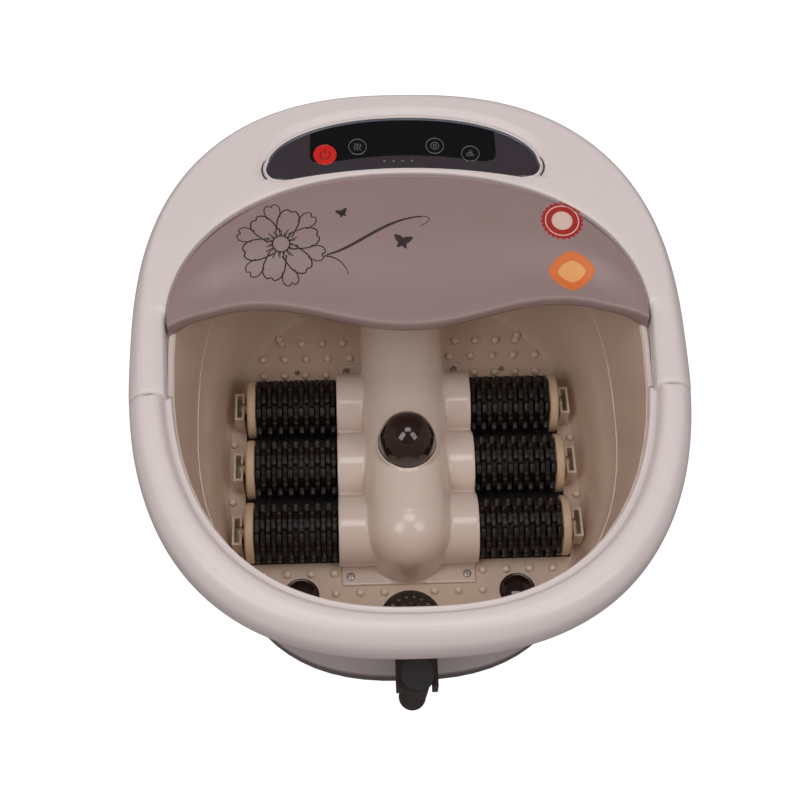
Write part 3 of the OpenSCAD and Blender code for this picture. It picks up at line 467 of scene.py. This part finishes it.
def raised(name, outline, centre, low, high, surface=None, edge=0.35):
    """Thin plate of any outline, on the sloping plane or on a surface, with a soft edge."""
    centre = np.asarray(centre, float)
    scales = [0.04, 1.0, 1.0, 0.992, 0.95, 0.8, 0.6, 0.4, 0.2, 0.04]
    heights = [low, low, high - edge, high - 0.1 * edge] + [high] * 6
    rings = []
    for s, h in zip(scales, heights):
        xy = centre + (np.asarray(outline) - centre) * s
        base = surface(xy[:, 0], xy[:, 1]) if surface else 0
        rings.append(on_slope(xy[:, 0], xy[:, 1], base + h))
    return swept(name, np.array(rings))


def stroke(name, xy, width, high, surface=None, low=-0.3, closed=False):
    """Thin raised line along points; width may be a number or one value a point."""
    xy = np.asarray(xy, float)
    if closed:
        along = np.roll(xy, -1, 0) - np.roll(xy, 1, 0)
    else:
        along = np.gradient(xy, axis=0)
    normal = np.stack([-along[:, 1], along[:, 0]], -1)
    normal /= np.linalg.norm(normal, axis=1, keepdims=True)
    half = (np.broadcast_to(width, len(xy)) / 2)[:, None]
    left, right = xy + normal * half, xy - normal * half

    def lifted(p, h):
        base = surface(p[:, 0], p[:, 1]) if surface else 0
        return on_slope(p[:, 0], p[:, 1], base + h)

    corners = [lifted(left, low), lifted(left, high), lifted(right, high), lifted(right, low)]
    sections = np.stack(corners, 1)
    return hoop(name, sections, True) if closed else swept(name, sections, True)


def circle(x, y, r, n=48, start=0, end=360):
    t = np.radians(np.linspace(start, end, n, endpoint=end - start < 360))
    return np.stack([x + r * np.cos(t), y + r * np.sin(t)], -1)


def build_lens():
    """Smoked lens with a dark display field, a ring of white trim and four indicator dots."""
    z_top = -1.5
    body = raised("control_lens_surface", lens_outline(-0.3), (0, 166), -5.0, z_top, edge=1.6)
    dress(body, "smoked_lens", "basin", "control_lens")
    x = np.linspace(-72, 72, 97)
    top = LENS_Y + LENS_B * (1 - (np.abs(x) / LENS_A) ** 2.1) ** (1 / 2.1) - 3.0
    corner = np.clip((np.abs(x) - 60) / 12, 0, 1)
    low = 157.2 - 8.6 * (x / 72) ** 2 + 9 * (1 - np.sqrt(1 - corner**2))
    field = np.concatenate([np.stack([x, low], -1), np.stack([x, top], -1)[::-1]])
    display = raised("display_field", field, (0, 172), z_top - 0.5, z_top + 0.04, edge=0.02)
    dress(display, "black_lens", "basin")
    # Lighter blue-grey line inside the lens's top edge: a painted highlight on the bevelled rim.
    edge = oval(LENS_A - 2.0, LENS_B - 2.0, 2.1, np.linspace(9, 171, 120)) + [0, LENS_Y]
    dress(stroke("lens_edge_painted_highlight", edge, 1.7, z_top + 0.03, None, z_top - 0.4), "lens_edge_painted_highlight", "basin")
    gaps = []
    for side in (-1, 1):
        arc = circle(95.5, LENS_Y + 1, 13, 40, -70, 38) * [side, 1]
        gaps.append(stroke(f"gap_{side}", arc, 1.3 * np.sin(np.linspace(0.06, 3.08, 40)), -1.55, None, -2.2))
    dress(joined("lens_end_gaps", gaps), "dark_liner", "basin")
    bezel = lens_outline(0.15)
    line = stroke("lens_trim", bezel, 1.4, -0.95, None, -5.5, closed=True)
    dress(line, "white_shell", "basin")
    dots = []
    for i in range(4):
        x, y = -14.5 + 7 * i, 152.6
        dots.append(raised(f"dot_{i}", circle(x, y, 0.9, 20), (x, y), z_top - 0.4, z_top + 0.06,
                           edge=0.02))
    dress(joined("indicator_dots", dots), "key_print", "basin")


def icon_strokes(key):
    """Plain marks for the keys: a power bar, heat waves, a roller and bubbles."""
    x, y, r = KEYS[key]
    if key == "power_key":
        arc = circle(x, y - 0.4, 0.42 * r, 30, 125, 415)
        return [(arc, 0.8), ([[x, y + 0.1 * r], [x, y + 0.34 * r], [x, y + 0.6 * r]], 0.8)]
    if key == "heat_key":
        s = np.linspace(-1, 1, 24)
        wave = np.stack([x + 0.55 * np.sin(s * 4.2), y + s * 0.42 * r], -1)
        return [(wave + [dx, 0], 0.55) for dx in (-2, 0, 2)]
    if key == "massage_key":
        rings = [(circle(x, y, 0.42 * r, 32, 20, 379), 0.5)]
        return rings + [(circle(x, y, 0.16 * r, 20, 0, 359), 0.5)]
    return [(circle(x + dx, y + dy, rr, 24, 0, 359), 0.45)
            for dx, dy, rr in ((-1.6, -0.8, 1.3), (1.4, -1.2, 0.9), (0.3, 1.6, 1.1))]


def build_keys():
    for key, (x, y, r) in KEYS.items():
        red = key == "power_key"
        cap = raised(key + "_cap", circle(x, y, r, 64), (x, y), -4.0, -1.25, edge=0.3)
        dress(cap, "red_key" if red else "black_key", key, key)
        marks = [stroke(f"{key}_mark_{i}", xy, w, -1.17, None, -1.6)
                 for i, (xy, w) in enumerate(icon_strokes(key))]
        if not red:
            ring = circle(x, y, r - 0.45, 64)
            marks.append(stroke(key + "_ring", ring, 0.5, -1.15, None, -1.6, closed=True))
        dress(joined(key + "_marks", marks), "dark_print" if red else "key_print", key)


# ------------------------------------------------------------------ outer shell
def shell_rings(inset, steps=28):
    rings = []
    for s in np.linspace(0, 1, steps + 1):
        flare = s ** 1.35
        a = 156 + (RIM_A - 13 - 156) * flare - inset
        b = 171 + (RIM_B - 13 - 171) * flare - inset
        xy = oval(a, b, RIM_N, np.arange(240) * 1.5)
        z = BAND_H + (CREST - 20.3 - BAND_H) * s + SLOPE * s * xy[:, 1]
        rings.append(np.column_stack([xy, z]))
    return np.array(rings)


def build_outer_shell():
    rings = np.concatenate([shell_rings(0), shell_rings(3)[::-1]])
    dress(hoop("outer_shell_surface", rings, True), "white_shell", "basin", "outer_shell")


# ------------------------------------------------------------------ rollers
def disc_outline(tip, root, half_tip, half_root):
    """Points of a six-toothed disc, teeth rounded at their corners."""
    points = []
    for k in range(6):
        for radius, angle in ((root, -half_root - 2), (root + 0.5, -half_root), (tip - 0.8, -half_tip - 0.6),
                              (tip, -half_tip + 1.4), (tip, -half_tip / 2), (tip, 0), (tip, half_tip / 2),
                              (tip, half_tip - 1.4), (tip - 0.8, half_tip + 0.6), (root + 0.5, half_root),
                              (root, half_root + 2), (root, 25), (root, 35)):
            t = math.radians(60 * k + angle)
            points.append((radius * math.cos(t), radius * math.sin(t)))
    return np.array(points)


def build_roller(row, side):
    y = ROWS[row]
    pitch, thick, count, x0 = 4.4, 3.4, 17, 48.6
    layers = [(0, 0.55, 1.6), (0.5, 0, 0), (thick - 0.5, 0, 0), (thick, 0.55, 1.6)]
    verts, faces, base = [], [], 0
    for i in range(count):
        turn = math.radians(30 * (i % 2) + 7)
        spin = np.array([[math.cos(turn), math.sin(turn)], [-math.sin(turn), math.cos(turn)]])
        for dx, inset, narrow in layers:
            p = disc_outline(ROLLER_R - inset, 18.4, 10.5 - narrow, 13 - narrow / 2) @ spin
            x = x0 + pitch * i + dx
            verts.append(np.column_stack([np.full(len(p), side * x), p[:, 0] + y, p[:, 1] + AXIS_Z]))
        n = len(p)
        faces += grid_faces(4, n, False, True, side > 0, base)
        caps = [[base + k for k in range(n)], [base + 3 * n + k for k in range(n)]]
        faces += [caps[0][::side], caps[1][::-side]]
        base += 4 * n
    discs = mesh_object(f"{row}_discs_{side}", np.concatenate(verts), faces, False)
    core = lathe(f"{row}_core_{side}", [(16.5, 48), (16.5, 123)], along_x(0, y, AXIS_Z, side))
    name = f"{row}_roller_{'right' if side > 0 else 'left'}"
    dress(joined(name + "_surface", [discs, core]), "roller_brown", row + "_row", name)


def build_end_caps(row):
    """Beige caps at both ends of a row, each with the stub that runs into its clip."""
    caps = []
    profile = rounded([(4.05, 123.4), (23.2, 123.4), (24.3, 124.2), (24.3, 129.4), (22.4, 130.6),
                       (9.5, 130.6), (9, 131.6), (4.05, 131.6)], 0.9)
    for side in (-1, 1):
        caps.append(lathe(f"{row}_cap_{side}", profile, along_x(0, ROWS[row], AXIS_Z, side)))
        stub = rounded([(4.03, 131.0), (4.03, 136.36), (0.05, 136.37)], 0.4)
        caps.append(lathe(f"{row}_stub_{side}", stub, along_x(0, ROWS[row], AXIS_Z, side), 48))
    dress(joined(f"{row}_end_caps_surface", caps), "beige_clip", row + "_row", f"{row}_end_caps")


# ------------------------------------------------------------------ splash guard
def guard_back(x):
    return GUARD_Y0 + GUARD_B * (1 - (np.abs(x) / (GUARD_A - 1)) ** 2.2) ** (1 / 2.2) - 0.6


def guard_front(x):
    ax = np.abs(x)
    wave = 26 - 9.3 * np.cos(np.radians(180 * ax / 112))
    corner = 14.5 + 20.8 * np.maximum(0, np.cos(np.radians(90 * (ax - 112) / 66))) ** 0.85
    return np.where(ax < 112, wave, corner)


def guard_height(x, y):
    """Height of the guard's upper face above the crest plane."""
    back = guard_back(x)
    front = np.minimum(guard_front(x), back - 3)
    v = np.clip((back - y) / np.maximum(back - front, 1), 0, 1)
    sag = np.minimum(4, (back - front) / 14) * np.clip((170 - np.abs(x)) / 25, 0, 1)
    return -2.2 - sag * smoothstep((v - 0.35) / 0.5)


def build_splash_guard():
    """Thin moulded guard: level face, thin raised back edge and a lip rolled down at the front."""
    x = (GUARD_A - 1.4) * np.sin(np.radians(np.linspace(-90, 90, 281)))
    back = guard_back(x)
    front = np.minimum(guard_front(x), back - 3)
    rear_edge = ((0, -4.8), (0, -2.9), (0.4, -2.0), (1.0, -1.9), (1.5, -2.3))
    rows = [on_slope(x, back - dy, dz) for dy, dz in rear_edge]
    for v in np.linspace(0.02, 1, 30):
        y = back + (front + 2.4 - back) * v
        rows.append(on_slope(x, y, guard_height(x, y)))
    edge = guard_height(x, front)
    deeper = 1 + 0.5 * smoothstep((np.abs(x) - 158) / 14)
    for dy, dz in ((1.3, -0.15), (0.6, -0.7), (0.15, -1.6), (0, -2.8), (0, -6), (0.1, -8.6), (0.6, -9.2),
                   (1.4, -9.2), (1.9, -8.6), (2.0, -5.5), (2.2, -3.4)):
        rows.append(on_slope(x, front + dy, edge + dz * (deeper if dz < -5 else 1)))
    for v in np.linspace(0.97, 0.04, 10):
        y = back + (front + 2.4 - back) * v
        rows.append(on_slope(x, y, guard_height(x, y) - 2.5))
    sections = np.array(rows).transpose(1, 0, 2)
    dress(swept("splash_guard_surface", sections, True), "grey_guard", "splash_guard", "splash_guard")


# ------------------------------------------------------------------ guard print
def guard_print(pieces, slot, name):
    dress(joined(name, pieces), slot, "splash_guard")


def petal(cx, cy, turn, reach, width, start=7.5):
    """Outline of one petal, open at its root."""
    s = np.linspace(0, 1, 40)
    along = start + (reach - start) * np.sin(np.pi * s) ** 0.75
    across = width * np.cos(np.pi * s) * np.sin(np.pi * (0.12 + 0.76 * s)) ** 0.6
    dent = 1 - 0.07 * np.exp(-(((s - 0.5) / 0.05) ** 2))
    x, y = along * dent, across
    c, n = math.cos(turn), math.sin(turn)
    return np.stack([cx + x * c - y * n, cy + x * n + y * c], -1)


def build_flower():
    """Line drawing of a plain blossom with a curved stem, printed on the guard."""
    cx, cy = FLOWER
    lines = []
    for k in range(6):
        turn = math.radians(60 * k + 14)
        lines.append((petal(cx, cy, turn, 29.5, 11.5), 1.0))
        back = petal(cx, cy, turn + math.radians(30), 34, 8.5, 22)
        lines.append((back, 0.8))
    for k in range(30):
        t = math.radians(12 * k + 5 * (k % 2))
        r0, r1 = 6.2, 9.4 + 1.8 * (k % 3)
        lines.append((np.array([[cx + r * math.cos(t), cy + r * math.sin(t)]
                                for r in np.linspace(r0, r1, 4)]), 0.7))
    pieces = [stroke(f"flower_{i}", xy, w, 0.12, guard_height) for i, (xy, w) in enumerate(lines)]
    pieces.append(stroke("flower_eye", circle(cx, cy, 6.4, 40), 1.0, 0.12, guard_height, closed=True))
    s = np.linspace(0, 1, 50)[:, None]
    stem = ((1 - s) ** 3 * [-60, 74] + 3 * s * (1 - s) ** 2 * [-38, 78] + 3 * s**2 * (1 - s) * [-16, 103]
            + s**3 * [12, 104])
    pieces.append(stroke("stem", stem, 0.6 + 1.7 * np.sin(np.pi * np.clip(s[:, 0] * 0.85 + 0.1, 0, 1)), 0.12,
                         guard_height))
    curl = ((1 - s) ** 3 * [-6, 100.5] + 3 * s * (1 - s) ** 2 * [14, 108] + 3 * s**2 * (1 - s) * [26, 103]
            + s**3 * [11, 96])
    pieces.append(stroke("curl", curl, 0.5, 0.12, guard_height))
    twig = (1 - s) ** 2 * [-62, 73] + 2 * s * (1 - s) * [-48, 72] + s**2 * [-44, 58]
    pieces.append(stroke("twig", twig, 1.1 - 0.6 * s[:, 0], 0.12, guard_height))
    guard_print(pieces, "dark_print", "guard_flower_print")


def leaf_pair(cx, cy, size, turn):
    """Four small leaves round a point."""
    s = np.linspace(0, 2 * np.pi, 28, endpoint=False)
    out = []
    for k, (angle, reach) in enumerate(((35, 1.0), (145, 1.0), (235, 0.7), (305, 0.7))):
        t = math.radians(angle) + turn
        along, across = (1 - np.cos(s)) / 2, np.sin(s) * (0.30 + 0.12 * np.cos(s))
        x, y = along * size * reach, across * size * reach
        xy = np.stack([cx + x * math.cos(t) - y * math.sin(t), cy + x * math.sin(t) + y * math.cos(t)], -1)
        out.append(xy)
    return out


def rounded_lozenge(cx, cy, a, b):
    u = np.radians(np.arange(0, 360, 3))
    return np.stack([cx + a * power(np.cos(u), 1.35), cy + b * power(np.sin(u), 1.35)], -1)


def build_guard_marks():
    """Two small leaf motifs, a plain scalloped disc and a plain lozenge."""
    pieces = []
    for cx, cy, size, turn in ((-48.0, 108.0, 5.5, 0.3), (-3.0, 83.0, 8.5, -0.2)):
        for xy in leaf_pair(cx, cy, size, turn):
            pieces.append(raised("leaf", xy, xy.mean(0), -0.3, 0.12, guard_height, 0.02))
    guard_print(pieces, "dark_print", "guard_leaf_print")
    t = np.radians(np.arange(0, 360, 2.5))
    edge = 15.6 + 0.7 * np.cos(24 * t)
    cx, cy = DISC_LABEL
    disc = np.stack([cx + edge * np.cos(t), cy + edge * np.sin(t)], -1)
    guard_print([raised("seal", disc, (cx, cy), -0.3, 0.16, guard_height, 0.03)], "red_label",
                "red_disc_label")
    ring = stroke("seal_ring", circle(cx, cy, 12.6, 72), 0.9, 0.21, guard_height, closed=True)
    inner = stroke("seal_inner", circle(cx, cy, 7.6, 60), 0.7, 0.21, guard_height, closed=True)
    middle = raised("seal_middle", circle(cx, cy, 7.2, 60), (cx, cy), -0.3, 0.20, guard_height, 0.02)
    guard_print([ring, inner, middle], "pale_label", "red_disc_rings")
    cx, cy = LOZENGE_LABEL
    lozenge = rounded_lozenge(cx, cy, 17.5, 15.5)
    guard_print([raised("lozenge", lozenge, (cx, cy), -0.3, 0.16, guard_height, 0.03)],
                "orange_label", "orange_label")
    middle = rounded_lozenge(cx, cy - 0.5, 10.5, 8.5)
    guard_print([raised("lozenge_middle", middle, (cx, cy - 0.5), -0.3, 0.2, guard_height, 0.02)],
                "pale_orange", "orange_label_centre")


# ------------------------------------------------------------------ dome, lenses, screws, nubs, wall bead
def arc_profile(radius, height, z0, steps=24):
    t = np.radians(np.linspace(0, 89.5, steps))
    return [(radius * math.cos(v), z0 + height * math.sin(v)) for v in t]


def build_dome():
    """Smoked dome over the lamp, with a thin foot ring on the cover's collar."""
    r, z = WINDOW_R, RIDGE_TOP
    profile = [(r + 0.2, z - 1.2), (r + 0.7, z - 0.8), (r + 0.7, z), (r + 0.3, z + 0.4)]
    profile += arc_profile(r, DOME_H, z + 0.4)
    dome = lathe("lamp_window_surface", profile, at(0, WINDOW_Y, 0), 128)
    dress(dome, "brown_lens", "basin", "lamp_window")


def build_floor_lenses():
    ring = [(14.6, 57.1), (14.6, 57.9), (14, 58.5), (13.2, 58.7), (12.8, 58.4)]
    profile = ring + arc_profile(12.8, 5, 58.4)
    x, y = FLOOR_LENS
    lenses = [lathe(f"floor_lens_{side}", profile, at(side * x, y, 0), 96) for side in (-1, 1)]
    dress(joined("floor_lens_surfaces", lenses), "brown_lens", "basin", "floor_lenses")


def build_screws():
    """Cross-head screws that hold the gear cover."""
    heads = []
    for x, y in COVER_SCREWS:
        radii = [3.3, 3.3, 3.15, 2.8] + list(np.linspace(2.6, 0.12, 16))
        turn = np.radians(np.arange(0, 360, 5))
        rings = []
        for i, r in enumerate(radii):
            px, py = r * np.cos(turn), r * np.sin(turn)
            z = (59.4, 60.4, 60.9, 61.2)[i] if i < 4 else 61.25 + 0.12 * (1 - (r / 2.6) ** 2)
            cross = np.minimum(np.maximum(np.abs(px) / 1.9, np.abs(py) / 0.42),
                               np.maximum(np.abs(py) / 1.9, np.abs(px) / 0.42))
            dip = 1.1 * (1 - smoothstep((cross - 0.75) / 0.5)) if i > 3 else 0 * px
            rings.append(np.stack([px + x, py + y, z - dip], -1))
        heads.append(swept(f"head_{x}_{y}", np.array(rings)))
    dress(joined("cover_screw_heads", heads), "steel", "basin", "cover_screws")


def build_nubs():
    """Small round-topped nubs on the foot bed, standing over the tub's own, in a lighter cream that paints
    their highlight.
    """
    places = [(60 + 19 * i, -97.5) for i in range(4)] + [(20 + 19.5 * i, -114.5) for i in range(3)]
    places += [(65 + 18 * i, 89) for i in range(4)] + [(44 + 19 * i, 106) for i in range(5)]
    places += [(50 + 18 * i, 122) for i in range(4)] + [(106, 127)] + [(143, 54 * i - 32) for i in range(3)]
    profile = [(3.1, 56.9), (3.1, 59.3)] + arc_profile(3.0, 2.3, 59.5, 12)
    nubs = [lathe(f"nub_{x}_{y}_{side}", profile, at(side * x, y, 0), 24)
            for x, y in places for side in (-1, 1)]
    dress(joined("foot_bed_nubs", nubs), "nub_cream_painted_highlight", "basin")


def build_wall_bead():
    """Fine bead along the tub wall, about half way up, ending at the box under the hood; its lighter cream
    paints the highlight line along the wall.
    """
    u, r = 0.54, 0.6
    w, n = u**0.85, FLOOR_N + (EDGE_N - FLOOR_N) * u
    a = FLOOR_A + (EDGE_A - 2.7 - FLOOR_A) * w + 0.9
    b = FLOOR_B + (EDGE_B - 2.5 - FLOOR_B) * w + 0.9
    t = np.linspace(130, 410, 281)
    points = []
    for k in range(8):
        turn = math.radians(45 * k)
        xy = oval(a - r * math.cos(turn), b - r * math.cos(turn), n, t)
        z = FLOOR_Z + (CREST - 17 - FLOOR_Z) * u + SLOPE * u * xy[:, 1] + r * math.sin(turn)
        points.append(np.column_stack([xy, z]))
    dress(swept("tub_wall_bead", np.stack(points, 1)), "nub_cream_painted_highlight", "basin")


# ------------------------------------------------------------------ hose
def build_hose():
    """Tapered rubber hose with fine ribs, leaning out from its swivel to its clip."""
    place = at(0, HOSE_ROOT_Y, HOSE_Z) @ Matrix.Rotation(HOSE_LEAN, 4, "X")
    profile = [(0.1, -11), (4.5, -10.2), (8, -7.8), (10.2, -4.4), (HOSE_R, 0)]
    for z in np.arange(4, HOSE_L - 22, 1.0):
        rib = 0.28 * (0.5 + 0.5 * math.cos(math.pi * z / 2)) if z > 24 else 0
        profile.append((HOSE_R - 0.3 + rib, z))
    profile += [(HOSE_R, HOSE_L - 21), (HOSE_R, HOSE_L - 0.4), (7, HOSE_L)]
    hose = lathe("drain_hose_surface", profile, place, 96)
    dress(hose, "hose_rubber", "drain_hose", "drain_hose")
    profile = rounded([(6.9, HOSE_L - 12), (6.9, HOSE_L + 0.1), (12.4, HOSE_L + 0.1),
                       (12.5, HOSE_L + 8), (0.05, HOSE_L + 8.1)], 1.4)
    cap = lathe("drain_plug_surface", profile, place, 96)
    dress(cap, "rubber", "drain_plug", "drain_plug")


# ------------------------------------------------------------------ CAD nodes
def soften(name, voxel, rounds):
    """Moulded look for a CAD node: remeshed finely, then its creases smoothed."""
    obj = frame["nodes"][name]
    remesh = obj.modifiers.new("remesh", "REMESH")
    remesh.mode = "VOXEL"
    remesh.voxel_size = voxel * MM
    remesh.use_smooth_shade = True
    smooth = obj.modifiers.new("smooth", "SMOOTH")
    smooth.factor = 0.5
    smooth.iterations = rounds


def finish_cad_nodes():
    """Every CAD node that is still shown gets its slot's material and smooth shading."""
    slots = {s["node"]: s["material_slot"] for s in frame["record"]["subparts"]}
    for name, obj in frame["nodes"].items():
        obj.data.materials.clear()
        obj.data.materials.append(MATERIALS[SHADE.get(name, slots[name])])
        obj.data.polygons.foreach_set("use_smooth", [True] * len(obj.data.polygons))
        weld = obj.modifiers.new("weld", "WELD")
        weld.merge_threshold = 0.00001
        if name == "gear_cover":
            continue
        split = obj.modifiers.new("hard_edges", "EDGE_SPLIT")
        split.split_angle = math.radians(28)
    soften("gear_cover", 0.9, 10)


# ------------------------------------------------------------------ stage, light, camera

def build_stage():
    floor = mesh_object("studio_floor", [(-3000, -3000, -0.5), (3000, -3000, -0.5), (3000, 3000, -0.5),
                                         (-3000, 3000, -0.5)], [[0, 1, 2, 3]])
    m = Nodes("studio_floor")
    m.set(Base_Color=(0.22, 0.2, 0.2, 1), Roughness=0.9, Emission_Color=(1, 1, 1, 1))
    ray = m.add("ShaderNodeLightPath")
    m.link(ray.outputs["Is Camera Ray"], m.bsdf.inputs["Emission Strength"])
    floor.data.materials.append(m.mat)


def area_light(name, place, target, size, power_w, colour=(1, 1, 1)):
    light = bpy.data.lights.new(name, "AREA")
    light.shape = "RECTANGLE"
    light.size, light.size_y = size
    light.energy = power_w
    light.color = colour
    obj = bpy.data.objects.new(name, light)
    bpy.context.scene.collection.objects.link(obj)
    obj.location = place
    obj.rotation_euler = (Vector(target) - Vector(place)).to_track_quat("-Z", "Y").to_euler()


def build_lights():
    world = bpy.data.worlds.new("studio")
    bpy.context.scene.world = world
    world.use_nodes = True
    bpy.context.scene.view_settings.view_transform = "Standard"
    tree = world.node_tree
    background = tree.nodes["Background"]
    background.inputs["Color"].default_value = (1, 0.985, 0.975, 1)
    ray = tree.nodes.new("ShaderNodeLightPath")
    dim, seen = (tree.nodes.new("ShaderNodeMapRange") for _ in range(2))
    dim.inputs["To Min"].default_value = 0.36
    dim.inputs["To Max"].default_value = 0.07
    seen.inputs["To Max"].default_value = 1.1
    tree.links.new(ray.outputs["Is Glossy Ray"], dim.inputs["Value"])
    tree.links.new(ray.outputs["Is Camera Ray"], seen.inputs["Value"])
    tree.links.new(dim.outputs["Result"], seen.inputs["To Min"])
    tree.links.new(seen.outputs["Result"], background.inputs["Strength"])
    area_light("softbox_left", (-0.9, -0.9, 1.6), (0, 0, 0.15), (0.7, 1.1), 8, (1, 0.97, 0.95))
    area_light("softbox_right", (0.9, -0.9, 1.6), (0, 0, 0.15), (0.7, 1.1), 6.5, (1, 0.97, 0.95))
    area_light("overhead", (0, -0.1, 2.0), (0, 0, 0.2), (0.9, 0.6), 5.6)
    area_light("rear_fill", (-0.3, 1.6, 0.7), (0, 0, 0.15), (0.9, 0.5), 3)


def build_camera():
    """Looks down at the basin from the front, slightly left of its middle line."""
    azimuth, elevation, roll = (math.radians(v) for v in (-5.094, 59.117, -3.18))
    target = Vector((0, 0.0035, 0.2))
    back = Vector((math.sin(azimuth) * math.cos(elevation), -math.cos(azimuth) * math.cos(elevation),
                   math.sin(elevation)))
    right = Vector((math.cos(azimuth), math.sin(azimuth), 0))
    up = back.cross(right)
    x_axis = right * math.cos(roll) - up * math.sin(roll)
    y_axis = right * math.sin(roll) + up * math.cos(roll)
    data = bpy.data.cameras.new("camera")
    data.lens = 63.1
    data.sensor_width = 36
    data.shift_x, data.shift_y = -0.01084, -0.03128
    camera = bpy.data.objects.new("camera", data)
    bpy.context.scene.collection.objects.link(camera)
    matrix = Matrix((x_axis, y_axis, back)).transposed().to_4x4()
    matrix.translation = target + back * 1.0656
    camera.matrix_world = matrix
    bpy.context.scene.camera = camera


# ------------------------------------------------------------------ build
build_front_rim()
build_rear_hood()
build_outer_shell()
build_splash_guard()
build_flower()
build_guard_marks()
build_lens()
build_keys()
build_dome()
build_floor_lenses()
build_screws()
build_nubs()
build_wall_bead()
build_hose()
for row_name in ROWS:
    build_end_caps(row_name)
    for row_side in (-1, 1):
        build_roller(row_name, row_side)
finish_cad_nodes()
build_stage()
build_lights()
build_camera()
